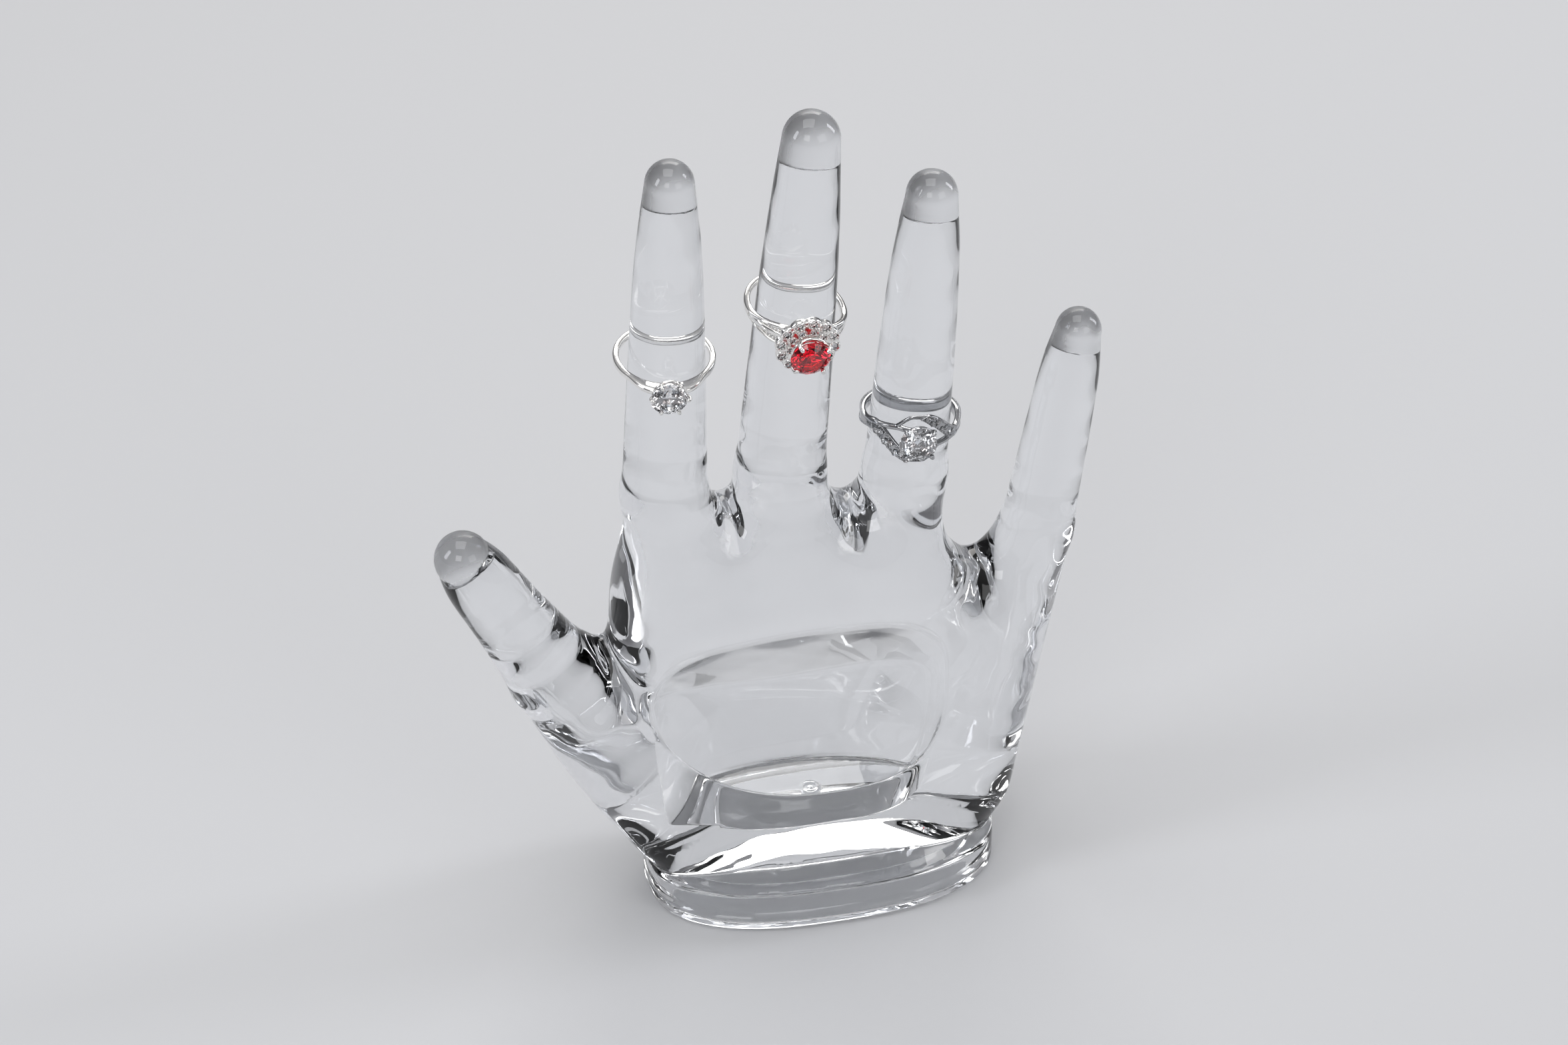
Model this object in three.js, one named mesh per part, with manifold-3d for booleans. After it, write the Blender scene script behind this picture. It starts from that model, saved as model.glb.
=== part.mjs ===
// A clear hand for showing rings: a left hand, palm forward, standing on an oval plinth,
// with a solitaire, a cluster ring and a bypass ring on three of its fingers.
// Millimetres, +Z up, palm towards -Y, table at z = 0.
import * as THREE from 'three';
import { ConvexGeometry } from 'three/addons/geometries/ConvexGeometry.js';
import { mergeVertices } from 'three/addons/utils/BufferGeometryUtils.js';
import Module from 'manifold-3d';

const wasm = await Module();
wasm.setup();

// Whole hand: table to the middle fingertip, and thumb tip to little fingertip
const HAND_HEIGHT = 183.1;
const HAND_SPAN = 138.9;

// Plinth under the wrist, with a hollow underside
const PLINTH_X = 10.5;
const PLINTH_LENGTH = 76;
const PLINTH_DEPTH = 44;
const PLINTH_HEIGHT = 9.5;
const PLINTH_EDGE = 0.8;
const OVAL_POWER = 2.5;
const RECESS_WALL = 5.5;
const RECESS_DEPTH = 7.5;

// Wrist, set back from the plinth's front edge, and the palm sections above it
const LEDGE_DEPTH = 9.6;
const WRIST_INSET = 0.6;
const WRIST_FLARE = 0.7;
const WRIST_BLEND = 2;
const HEEL = { z: 34, left: -30, right: 50, front: -14, back: 19 };
const PALM = { z: 66, left: -33, right: 52, front: -13, back: 15.5 };
const KNUCKLES = { z: 92, left: -32, right: 54, front: -8.5, back: 11.5 };
const KNUCKLE_ARC = { x: -2.8, z: 36, radius: 58.5 };
const PALM_POWER = 2.6;

// Digits: knuckle at the root, how far the tip stops below the hand's height, tilt in degrees,
// width at root, joints and tip, depth as a share of the width, and the inner end of the bone under the root
const DIGITS = {
  thumb: {
    x: 23.95 - HAND_SPAN / 2, y: -1, z: 61.2, drop: 83.3, splay: -29.2, lean: -3,
    root: 19.6, middle: 16.3, end: 14.8, tip: 12, depth: 0.96,
    carpal: { x: -19.5, y: 3, z: 22.8, width: 36 },
  },
  index: {
    x: -21.3, y: 2, z: 100, drop: 7.3, splay: 1.9, lean: 0,
    root: 17.4, middle: 15.4, end: 13.2, tip: 9.8, depth: 1.08,
    carpal: { x: -17, y: 1.5, z: 70, width: 22 },
  },
  middle: {
    x: 2.5, y: 2, z: 102, drop: 0, splay: 4.7, lean: 0,
    root: 18.3, middle: 16.3, end: 14.1, tip: 11.5, depth: 1,
    carpal: { x: 4, y: 1.5, z: 70, width: 22 },
  },
  ring: {
    x: 28.5, y: 2, z: 98, drop: 16, splay: 3.9, lean: 0,
    root: 17.1, middle: 15.4, end: 13.4, tip: 10.4, depth: 1.04,
    carpal: { x: 24, y: 1.5, z: 68, width: 22 },
  },
  little: {
    x: HAND_SPAN / 2 - 11.95, y: 2, z: 80, drop: 51.6, splay: 8.6, lean: 0,
    root: 15.6, middle: 14, end: 12.5, tip: 9.8, depth: 1,
    carpal: { x: 36.5, y: 3, z: 22, width: 36 },
  },
};
const MIDDLE_JOINT = 0.42;
const END_JOINT = 0.72;
const CARPAL_DEPTH = 0.92;
const WEB_BLEND = 5;
const PALM_BLEND = 8;
const KNUCKLE_BLEND = 10;

// Nails on the back of each tip
const NAIL_REACH = 0.98;
const NAIL_STEP = 0.55;
const NAIL_ARCH = 0.5;
const NAIL_END = 0.75;

// Palm pocket: a window in the palm face, drawn down and back at an angle to a flat floor
// and a curved back wall
const WINDOW = { left: -26, right: 35, lowest: 9, waist: 60, top: 73, bottom: 30 };
const WINDOW_FRONT = -13.5;
const WINDOW_TOP_POWER = 3;
const WINDOW_LIP_POWER = { left: 2, right: 3 };
const CORE_ANGLE = 50;
const POCKET_FLOOR = 15;
const POCKET_X = 5;
const POCKET_WIDTH = 64;
const POCKET_BACK_WALL = 3.9;

// Facets of the moulding and of the rings, and the accuracy of the surface
const CELL_ACROSS = 3.2;
const CELL_UP = 6.3;
const PROFILE_STEPS = 15;
const OVAL_STEPS = 60;
const EDGE_STEPS = 2;
const BACK_STEPS = 24;
const NAIL_STEPS = 8;
const RAIL_SIDES = 6;
const RAIL_STEPS = { solitaire: 38, strand: 30, shank: 22, plain: 9, leaf: 9, loop: 6 };
const CLAW_FACETS = { sides: 4, steps: 4 };
const HOOP_FACETS = { sides: 4, steps: 12 };
const ROOM_STEPS = 24;
const LOBE_STEPS = 6;
const EYE_STEPS = 12;
const SEAT_ROWS = 48;
const WELD = 1e-4;
const SLOPE_STEP = 0.01;
const LEAST_SLOPE = 0.1;
const SETTLE_STEPS = 4;
const LEAST_REACH = 1e-6;

// Rings: height of the seat on the digit, sideways slip there, and how the ring hangs in degrees
const RING_FIT = 0.3;
const SETTING_GAP = 0.12;
const SOLITAIRE = { digit: 'index', height: 132.4, slip: -0.5, nod: 6, roll: 0, turn: -6 };
const CLUSTER = { digit: 'middle', height: 140.2, slip: 0, nod: 10, roll: 5, turn: 0 };
const BYPASS = { digit: 'ring', height: 111.6, slip: 0, nod: -2.5, roll: 0, turn: -6 };

// Gem cut, as shares of the girdle's radius
const GEM_FOLDS = 8;
const ACCENT_FOLDS = 6;
const GEM = {
  table: 0.56, crown: 0.34, star: 0.79, starHeight: 0.205, girdle: 0.03,
  lower: 0.3, lowerDepth: 0.66, culet: 0.86,
};

// Claw shape, as shares of the claw's thickness, and the foot ring as a share of the stone
const CLAW = { out: 0.3, bow: 0.2, crook: 0.7, over: 0.9, taper: 0.12, hoop: 0.42 };
const FOOT_SHARE = 0.27;

// Solitaire
const SOLITAIRE_WIDTH = 1.4;
const SOLITAIRE_THICKNESS = 1.35;
const SOLITAIRE_RISE = 1.7;
const SOLITAIRE_SHOULDER = { near: 16, far: 52 };
const SOLITAIRE_STONE = 7.2;
const SOLITAIRE_LIFT = 3.3;
const SOLITAIRE_PRONGS = 6;
const SOLITAIRE_PRONG = 0.72;

// Cluster ring
const CLUSTER_WIDTH = 1.5;
const CLUSTER_THICKNESS = 1.3;
const CLUSTER_RAIL = 0.85;
const CLUSTER_SPREAD = 2.2;
const CLUSTER_SPLIT = { near: 12, far: 105 };
const CLUSTER_HALO = 13.2;
const CLUSTER_HALO_THICKNESS = 1.3;
const CLUSTER_LOBES = 12;
const CLUSTER_LOBE_DEPTH = 0.45;
const CLUSTER_EYE = 4.2;
const CLUSTER_OUTER_STONE = 1.9;
const CLUSTER_INNER_STONE = 1.35;
const CLUSTER_INNER_COUNT = 9;
const CLUSTER_STONE = 8;
const CLUSTER_LIFT = 3.6;
const CLUSTER_CLAWS = 4;
const CLUSTER_CLAW = 0.95;

// Bypass ring: a band that parts into a plain rail and a stone-set leaf on each side, the leaf passing
// beyond the stone, and a loop from each plain rail to the tip of the other side's leaf.
// Splits, taper, row and loop are in degrees from the front.
const BYPASS_WIDTH = 2.6;
const BYPASS_THICKNESS = 1.3;
const BYPASS_RAIL = 1.15;
const BYPASS_PLAIN_SPREAD = 1.4;
const BYPASS_PLAIN_SPLIT = { near: 10, far: 100 };
const BYPASS_SPLIT = { near: 4, far: 60 };
const BYPASS_TAPER = { near: 60, far: 95 };
const BYPASS_DIP = 1;
const BYPASS_MERGE = 16;
const BYPASS_LEAF_RISE = { low: -0.9, high: 4.5 };
const BYPASS_LEAF_OUT = 0.5;
const BYPASS_LEAF_WIDTH = 3.2;
const BYPASS_LEAF_TIP = 0.8;
const BYPASS_LEAF_END = 2;
const BYPASS_LEAF_FULLNESS = 0.9;
const BYPASS_LEAF_ROW = { near: 10, far: 50 };
const BYPASS_LEAF_STONE = 1.35;
const BYPASS_LEAF_COUNT = 7;
const BYPASS_LEAF_STAGGER = 0.15;
const BYPASS_LOOP = { near: -32, far: -6, start: -30, end: 8, above: 0.4, wire: 0.8 };
const BYPASS_STONE = 7.7;
const BYPASS_LIFT = 2.2;
const BYPASS_PRONGS = 4;
const BYPASS_PRONG = 0.85;

const ACRYLIC = { color: 0xe9eef2, roughness: 0.04, metalness: 0, transparent: true, opacity: 0.35 };
const WHITE_METAL = { color: 0xd8d8d4, roughness: 0.12, metalness: 1 };
const DARK_METAL = { color: 0xa9abad, roughness: 0.12, metalness: 1 };
const CLEAR_GEM = { color: 0xf4f7fa, roughness: 0.02, metalness: 0 };
const RED_GEM = { color: 0xb3060f, roughness: 0.03, metalness: 0 };

const FULL_TURN = 360;
const rad = THREE.MathUtils.degToRad;
const vec = (x, y, z) => new THREE.Vector3(x, y, z);

// Solids for joining and cutting
function toSolid(geometry, matrix = new THREE.Matrix4()) {
  const bare = geometry.clone();
  bare.deleteAttribute('normal');
  bare.deleteAttribute('uv');
  bare.applyMatrix4(matrix);
  const merged = mergeVertices(bare, WELD);
  const index = Uint32Array.from(merged.index.array);
  if (matrix.determinant() < 0) index.reverse();
  const vertProperties = Float32Array.from(merged.attributes.position.array);
  return new wasm.Manifold(new wasm.Mesh({ numProp: 3, vertProperties, triVerts: index }));
}

function toGeometry(solid) {
  const mesh = solid.getMesh();
  const geometry = new THREE.BufferGeometry();
  geometry.setAttribute('position', new THREE.BufferAttribute(mesh.vertProperties, 3));
  geometry.setIndex(new THREE.BufferAttribute(mesh.triVerts, 1));
  geometry.computeVertexNormals();
  return geometry;
}

const join = (solids) => solids.reduce((whole, solid) => whole.add(solid));
const cut = (whole, solids) => solids.reduce((rest, solid) => rest.subtract(solid), whole);

// A skin through equal rings of points, closed on itself or capped at both ends
function loft(rings, closed) {
  const count = rings[0].length;
  const points = rings.flat();
  const index = [];
  const spans = closed ? rings.length : rings.length - 1;
  for (let i = 0; i < spans; i++) {
    const here = i * count;
    const next = ((i + 1) % rings.length) * count;
    for (let j = 0; j < count; j++) {
      const k = (j + 1) % count;
      index.push(here + j, here + k, next + k, here + j, next + k, next + j);
    }
  }
  if (!closed) {
    const last = (rings.length - 1) * count;
    for (let j = 1; j < count - 1; j++) {
      index.push(0, j + 1, j, last, last + j, last + j + 1);
    }
  }
  const geometry = new THREE.BufferGeometry().setFromPoints(points);
  geometry.setIndex(index);
  return geometry;
}

// A round bar along a curve, its radius given at each share of the way
function bar(curve, radiusAt, sides, steps) {
  const frames = curve.computeFrenetFrames(steps, false);
  const rings = [];
  for (let i = 0; i <= steps; i++) {
    const centre = curve.getPointAt(i / steps);
    const radius = radiusAt(i / steps);
    const ring = [];
    for (let j = 0; j < sides; j++) {
      const angle = (2 * Math.PI * j) / sides;
      ring.push(centre.clone()
        .addScaledVector(frames.normals[i], radius * Math.cos(angle))
        .addScaledVector(frames.binormals[i], radius * Math.sin(angle)));
    }
    rings.push(ring);
  }
  return loft(rings, false);
}

// Points of an oval between an ellipse and a box, by its half sizes
function oval(halfLength, halfDepth, power) {
  const points = [];
  for (let i = 0; i < OVAL_STEPS; i++) {
    const angle = (2 * Math.PI * i) / OVAL_STEPS;
    const c = Math.cos(angle);
    const s = Math.sin(angle);
    const x = halfLength * Math.sign(c) * Math.abs(c) ** (2 / power);
    const y = halfDepth * Math.sign(s) * Math.abs(s) ** (2 / power);
    points.push(new THREE.Vector2(x, y));
  }
  return points;
}

// Digits
function digitFrame(digit) {
  const turn = new THREE.Euler(rad(-digit.lean), rad(digit.splay), 0, 'YXZ');
  const frame = new THREE.Matrix4().makeRotationFromEuler(turn);
  return frame.setPosition(digit.x, digit.y, digit.z);
}

function digitLength(digit) {
  const tipRadius = digit.tip / 2;
  const rise = HAND_HEIGHT - digit.drop - digit.z - tipRadius;
  return rise / Math.cos(rad(digit.splay)) / Math.cos(rad(digit.lean)) + tipRadius;
}

function digitProfile(digit) {
  const length = digitLength(digit);
  const tipRadius = digit.tip / 2;
  const steps = [
    new THREE.Vector2(0, digit.root / 2),
    new THREE.Vector2(MIDDLE_JOINT * length, digit.middle / 2),
    new THREE.Vector2(END_JOINT * length, digit.end / 2),
    new THREE.Vector2(length - tipRadius, tipRadius),
  ];
  return new THREE.SplineCurve(steps).getPoints(PROFILE_STEPS);
}

function digitRadius(profile, along) {
  for (let i = 1; i < profile.length; i++) {
    const a = profile[i - 1];
    const b = profile[i];
    if (along <= b.x) return THREE.MathUtils.mapLinear(along, a.x, b.x, a.y, b.y);
  }
  return profile[profile.length - 1].y;
}

function digitChain(digit) {
  const frame = digitFrame(digit);
  const { carpal } = digit;
  const chain = digitProfile(digit).map((step) => ({
    at: vec(0, 0, step.x).applyMatrix4(frame),
    radius: step.y,
    depth: digit.depth,
  }));
  const inner = { at: vec(carpal.x, carpal.y, carpal.z), radius: carpal.width / 2, depth: CARPAL_DEPTH };
  return [inner, ...chain];
}

// How far a point lies outside a chain of tapered round links, deeper or shallower than wide
function chainDistance(chain, point) {
  let least = Infinity;
  for (let i = 1; i < chain.length; i++) {
    const a = chain[i - 1];
    const b = chain[i];
    const bx = b.at.x - a.at.x;
    const by = b.at.y - a.at.y;
    const bz = b.at.z - a.at.z;
    const px = point.x - a.at.x;
    const py = point.y - a.at.y;
    const pz = point.z - a.at.z;
    const along = (px * bx + py * by + pz * bz) / (bx * bx + by * by + bz * bz);
    const share = THREE.MathUtils.clamp(along, 0, 1);
    const depth = THREE.MathUtils.lerp(a.depth, b.depth, share);
    const radius = THREE.MathUtils.lerp(a.radius, b.radius, share);
    const off = Math.hypot(px - share * bx, (py - share * by) / depth, pz - share * bz) - radius;
    least = Math.min(least, off);
  }
  return least;
}

const smoothMin = (a, b, blend) => {
  const mix = Math.max(blend - Math.abs(a - b), 0) / blend;
  return Math.min(a, b) - (mix * mix * blend) / 4;
};
const smoothMax = (a, b, blend) => -smoothMin(-a, -b, blend);

// Palm sections, joined smoothly from the wrist to the knuckles
const WRIST = {
  z: PLINTH_HEIGHT,
  left: PLINTH_X - PLINTH_LENGTH / 2 + WRIST_INSET,
  right: PLINTH_X + PLINTH_LENGTH / 2 - WRIST_INSET,
  front: LEDGE_DEPTH - PLINTH_DEPTH / 2,
  back: PLINTH_DEPTH / 2 - WRIST_INSET,
};
const PALM_SECTIONS = [WRIST, HEEL, PALM, KNUCKLES];

function sectionTrack(key) {
  const heights = PALM_SECTIONS.map((section) => section.z);
  const values = PALM_SECTIONS.map((section) => section[key]);
  return new THREE.CubicInterpolant(heights, values, 1);
}

const tracks = Object.fromEntries(['left', 'right', 'front', 'back'].map((key) => [key, sectionTrack(key)]));
const palmAt = (key, z) => tracks[key].evaluate(z)[0];

// How far a point lies outside an oval between an ellipse and a box
function ovalDistance(x, y, halfLength, halfDepth, power) {
  const u = Math.abs(x) / halfLength;
  const v = Math.abs(y) / halfDepth;
  const reach = Math.max((u ** power + v ** power) ** (1 / power), LEAST_REACH);
  const slopeU = (u / reach) ** (power - 1) / halfLength;
  const slopeV = (v / reach) ** (power - 1) / halfDepth;
  return (reach - 1) / Math.max(Math.hypot(slopeU, slopeV), LEAST_REACH);
}

function palmDistance(point) {
  const left = palmAt('left', point.z);
  const right = palmAt('right', point.z);
  const front = palmAt('front', point.z);
  const back = palmAt('back', point.z);
  const x = point.x - (left + right) / 2;
  const y = point.y - (front + back) / 2;
  const side = ovalDistance(x, y, (right - left) / 2, (back - front) / 2, PALM_POWER);
  const up = Math.max(point.z - KNUCKLE_ARC.z, 0);
  const above = Math.hypot(point.x - KNUCKLE_ARC.x, up) - KNUCKLE_ARC.radius;
  return smoothMax(side, above, KNUCKLE_BLEND);
}

// The heel of the hand leans out from the plinth's edge no faster than the flare
function flareDistance(point) {
  const halfLength = PLINTH_LENGTH / 2 - WRIST_INSET;
  const halfDepth = PLINTH_DEPTH / 2 - WRIST_INSET;
  const foot = ovalDistance(point.x - PLINTH_X, point.y, halfLength, halfDepth, OVAL_POWER);
  return foot - WRIST_FLARE * Math.max(point.z - PLINTH_HEIGHT, 0);
}

const chains = Object.values(DIGITS).map(digitChain);
const handFoot = PLINTH_HEIGHT / 2;

function handDistance(point) {
  const digits = chains.map((chain) => chainDistance(chain, point));
  const webbed = digits.reduce((sum, digit) => smoothMin(sum, digit, WEB_BLEND));
  const whole = smoothMin(webbed, palmDistance(point), PALM_BLEND);
  const stood = smoothMax(whole, flareDistance(point), WRIST_BLEND);
  return Math.max(stood, handFoot - point.z);
}

// Skin of a distance field: one point in each cell that the surface crosses, moved onto the surface
function fieldSkin(distance, low, high, cell) {
  const size = high.clone().sub(low).divide(cell).ceil().addScalar(1);
  const node = (i, j, k) => vec(low.x + i * cell.x, low.y + j * cell.y, low.z + k * cell.z);
  const at = (i, j, k) => (k * size.y + j) * size.x + i;
  const values = new Float32Array(size.x * size.y * size.z);
  for (let k = 0; k < size.z; k++) {
    for (let j = 0; j < size.y; j++) {
      for (let i = 0; i < size.x; i++) values[at(i, j, k)] = distance(node(i, j, k));
    }
  }

  const slope = (p) => {
    const h = SLOPE_STEP;
    const along = (step) => distance(p.clone().add(step)) - distance(p.clone().sub(step));
    return vec(along(vec(h, 0, 0)), along(vec(0, h, 0)), along(vec(0, 0, h))).divideScalar(2 * h);
  };
  const settle = (p) => {
    for (let step = 0; step < SETTLE_STEPS; step++) {
      const gradient = slope(p);
      p.addScaledVector(gradient, -distance(p) / Math.max(gradient.lengthSq(), LEAST_SLOPE));
    }
    return p;
  };

  const corners = [0, 1, 2, 3, 4, 5, 6, 7].map((c) => [c & 1, (c >> 1) & 1, c >> 2]);
  const edges = corners.flatMap((_, c) => [1, 2, 4].filter((bit) => !(c & bit)).map((bit) => [c, c | bit]));
  const points = [];
  const cellPoint = new Map();
  for (let k = 0; k + 1 < size.z; k++) {
    for (let j = 0; j + 1 < size.y; j++) {
      for (let i = 0; i + 1 < size.x; i++) {
        const depth = corners.map(([a, b, c]) => values[at(i + a, j + b, k + c)]);
        const middle = vec(0, 0, 0);
        let crossings = 0;
        for (const [near, far] of edges) {
          if (depth[near] < 0 === depth[far] < 0) continue;
          const start = node(...corners[near].map((step, axis) => step + [i, j, k][axis]));
          const end = node(...corners[far].map((step, axis) => step + [i, j, k][axis]));
          middle.add(start.lerp(end, depth[near] / (depth[near] - depth[far])));
          crossings += 1;
        }
        if (crossings === 0) continue;
        cellPoint.set(at(i, j, k), points.length);
        points.push(settle(middle.divideScalar(crossings)));
      }
    }
  }

  const index = [];
  const face = (a, b, c, d, flip) => {
    const quad = [a, b, c, d].map((key) => cellPoint.get(key));
    if (flip) quad.reverse();
    const [p, q, r, s] = quad.map((n) => points[n]);
    const [e, f, g, h] = quad;
    if (p.distanceTo(r) < q.distanceTo(s)) index.push(e, f, g, e, g, h);
    else index.push(f, g, h, f, h, e);
  };
  for (let k = 1; k + 1 < size.z; k++) {
    for (let j = 1; j + 1 < size.y; j++) {
      for (let i = 1; i + 1 < size.x; i++) {
        const here = values[at(i, j, k)] < 0;
        if (here !== values[at(i + 1, j, k)] < 0) {
          face(at(i, j - 1, k - 1), at(i, j, k - 1), at(i, j, k), at(i, j - 1, k), !here);
        }
        if (here !== values[at(i, j + 1, k)] < 0) {
          face(at(i - 1, j, k - 1), at(i - 1, j, k), at(i, j, k), at(i, j, k - 1), !here);
        }
        if (here !== values[at(i, j, k + 1)] < 0) {
          face(at(i - 1, j - 1, k), at(i, j - 1, k), at(i, j, k), at(i - 1, j, k), !here);
        }
      }
    }
  }
  const geometry = new THREE.BufferGeometry().setFromPoints(points);
  geometry.setIndex(index);
  return geometry;
}

function handSkin() {
  const box = new THREE.Box3();
  for (const { at, radius } of chains.flat()) {
    box.expandByPoint(at.clone().addScalar(-radius));
    box.expandByPoint(at.clone().addScalar(radius));
  }
  for (const section of PALM_SECTIONS) {
    box.expandByPoint(vec(section.left, section.front, section.z));
    box.expandByPoint(vec(section.right, section.back, section.z));
  }
  const cell = vec(CELL_ACROSS, CELL_ACROSS, CELL_UP);
  const margin = cell.clone().multiplyScalar(2);
  return fieldSkin(handDistance, box.min.sub(margin), box.max.add(margin), cell);
}

function plinthOutline(inset) {
  return new THREE.Shape(oval(PLINTH_LENGTH / 2 - inset, PLINTH_DEPTH / 2 - inset, OVAL_POWER));
}

function plinthSolid() {
  const geometry = new THREE.ExtrudeGeometry(plinthOutline(PLINTH_EDGE), {
    depth: PLINTH_HEIGHT - 2 * PLINTH_EDGE,
    bevelSize: PLINTH_EDGE,
    bevelThickness: PLINTH_EDGE,
    bevelSegments: EDGE_STEPS,
  });
  return toSolid(geometry, new THREE.Matrix4().makeTranslation(PLINTH_X, 0, PLINTH_EDGE));
}

function recessSolid() {
  const below = 1;
  const settings = { depth: RECESS_DEPTH + below, bevelEnabled: false };
  const geometry = new THREE.ExtrudeGeometry(plinthOutline(RECESS_WALL), settings);
  return toSolid(geometry, new THREE.Matrix4().makeTranslation(PLINTH_X, 0, -below));
}

// Window outline in the palm face: four quarter ovals between its left, top, right and lowest points
function windowOutline() {
  const points = [];
  for (let i = 0; i < OVAL_STEPS; i++) {
    const angle = (2 * Math.PI * i) / OVAL_STEPS;
    const c = Math.cos(angle);
    const s = Math.sin(angle);
    const lipPower = c > 0 ? WINDOW_LIP_POWER.right : WINDOW_LIP_POWER.left;
    const power = s > 0 ? WINDOW_TOP_POWER : lipPower;
    const halfWidth = c > 0 ? WINDOW.right - WINDOW.lowest : WINDOW.lowest - WINDOW.left;
    const halfHeight = s > 0 ? WINDOW.top - WINDOW.waist : WINDOW.waist - WINDOW.bottom;
    points.push(new THREE.Vector2(
      WINDOW.lowest + halfWidth * Math.sign(c) * Math.abs(c) ** (2 / power),
      WINDOW.waist + halfHeight * Math.sign(s) * Math.abs(s) ** (2 / power),
    ));
  }
  return points;
}

function pocketSolid() {
  const angle = rad(CORE_ANGLE);
  const outside = PLINTH_DEPTH;
  const length = 2 * PLINTH_DEPTH + outside;
  const mouth = new THREE.Shape(windowOutline());
  const core = new THREE.ExtrudeGeometry(mouth, { depth: length, bevelEnabled: false });
  const draw = vec(0, Math.cos(angle), -Math.sin(angle));
  const slant = new THREE.Matrix4().makeBasis(vec(1, 0, 0), vec(0, 0, 1), draw);
  const start = draw.clone().multiplyScalar(-outside);
  slant.setPosition(start.x, WINDOW_FRONT + start.y, start.z);

  const backLean = Math.atan2(WRIST.back - HEEL.back, HEEL.z - WRIST.z);
  const backDepth = palmAt('back', POCKET_FLOOR) - POCKET_BACK_WALL;
  const plan = new THREE.Shape();
  plan.moveTo(POCKET_WIDTH / 2, -outside);
  plan.lineTo(POCKET_WIDTH / 2, 0);
  plan.absellipse(0, 0, POCKET_WIDTH / 2, backDepth, 0, Math.PI, false);
  plan.lineTo(-POCKET_WIDTH / 2, -outside);
  const settings = { depth: WINDOW.top, bevelEnabled: false, curveSegments: BACK_STEPS };
  const room = new THREE.ExtrudeGeometry(plan, settings);
  const shear = new THREE.Matrix4().makeShear(0, 0, 0, 0, 0, -Math.tan(backLean));
  const place = new THREE.Matrix4().makeTranslation(POCKET_X, 0, POCKET_FLOOR).multiply(shear);
  return toSolid(core, slant).intersect(toSolid(room, place));
}

// A nail is a shallow flat cut on the back of a tip, with a rounded fold at its lower end
function nailSolid(digit) {
  const profile = digitProfile(digit);
  const length = digitLength(digit);
  const foldAlong = length - NAIL_REACH * digit.end;
  const foldRadius = digitRadius(profile, foldAlong);
  const foldBack = foldRadius * digit.depth - NAIL_STEP;
  const endBack = (digit.tip / 2) * digit.depth * NAIL_END;
  const tilt = Math.atan2(foldBack - endBack, length - foldAlong);
  const arch = NAIL_ARCH * foldRadius;
  const beyond = digit.end * 2;
  const outline = new THREE.Shape();
  outline.moveTo(-foldRadius, beyond);
  outline.lineTo(-foldRadius, arch);
  outline.absellipse(0, arch, foldRadius, arch, Math.PI, 2 * Math.PI, false);
  outline.lineTo(foldRadius, beyond);
  const settings = { depth: digit.end, bevelEnabled: false, curveSegments: NAIL_STEPS };
  const geometry = new THREE.ExtrudeGeometry(outline, settings);
  const upright = new THREE.Matrix4().makeBasis(vec(1, 0, 0), vec(0, 0, 1), vec(0, 1, 0));
  const place = new THREE.Matrix4().makeTranslation(0, foldBack, foldAlong)
    .multiply(new THREE.Matrix4().makeRotationX(tilt))
    .multiply(upright);
  return toSolid(geometry, digitFrame(digit).multiply(place));
}

function handMoulding() {
  const whole = toSolid(handSkin()).add(plinthSolid());
  const nails = Object.values(DIGITS).map(nailSolid);
  return toGeometry(cut(whole, [pocketSolid(), recessSolid(), ...nails]));
}

// Gems, table up, girdle at z = 0
function brilliant(diameter, folds) {
  const radius = diameter / 2;
  const points = [];
  const ring = (count, r, z, shift) => {
    for (let i = 0; i < count; i++) {
      const angle = (2 * Math.PI * (i + shift)) / count;
      points.push(vec(r * radius * Math.cos(angle), r * radius * Math.sin(angle), z * radius));
    }
  };
  ring(folds, GEM.table, GEM.crown, 0);
  if (folds === GEM_FOLDS) {
    ring(folds, GEM.star, GEM.starHeight, 0.5);
    ring(2 * folds, 1, GEM.girdle, 0);
    ring(2 * folds, 1, -GEM.girdle, 0);
    ring(folds, GEM.lower, -GEM.lowerDepth, 0.5);
  } else {
    ring(folds, 1, 0, 0);
  }
  points.push(vec(0, 0, -GEM.culet * radius));
  return new ConvexGeometry(points);
}

const lift = (z) => new THREE.Matrix4().makeTranslation(0, 0, z);
const gemCutter = (diameter, folds, matrix) => toSolid(brilliant(diameter + 2 * SETTING_GAP, folds), matrix);

// Ring parts are made about the finger's axis, +Z up the finger, the stone towards -Y.
// A head is made table up along +Z and turned to face -Y.
const headTurn = new THREE.Matrix4().makeRotationX(Math.PI / 2);

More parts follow.
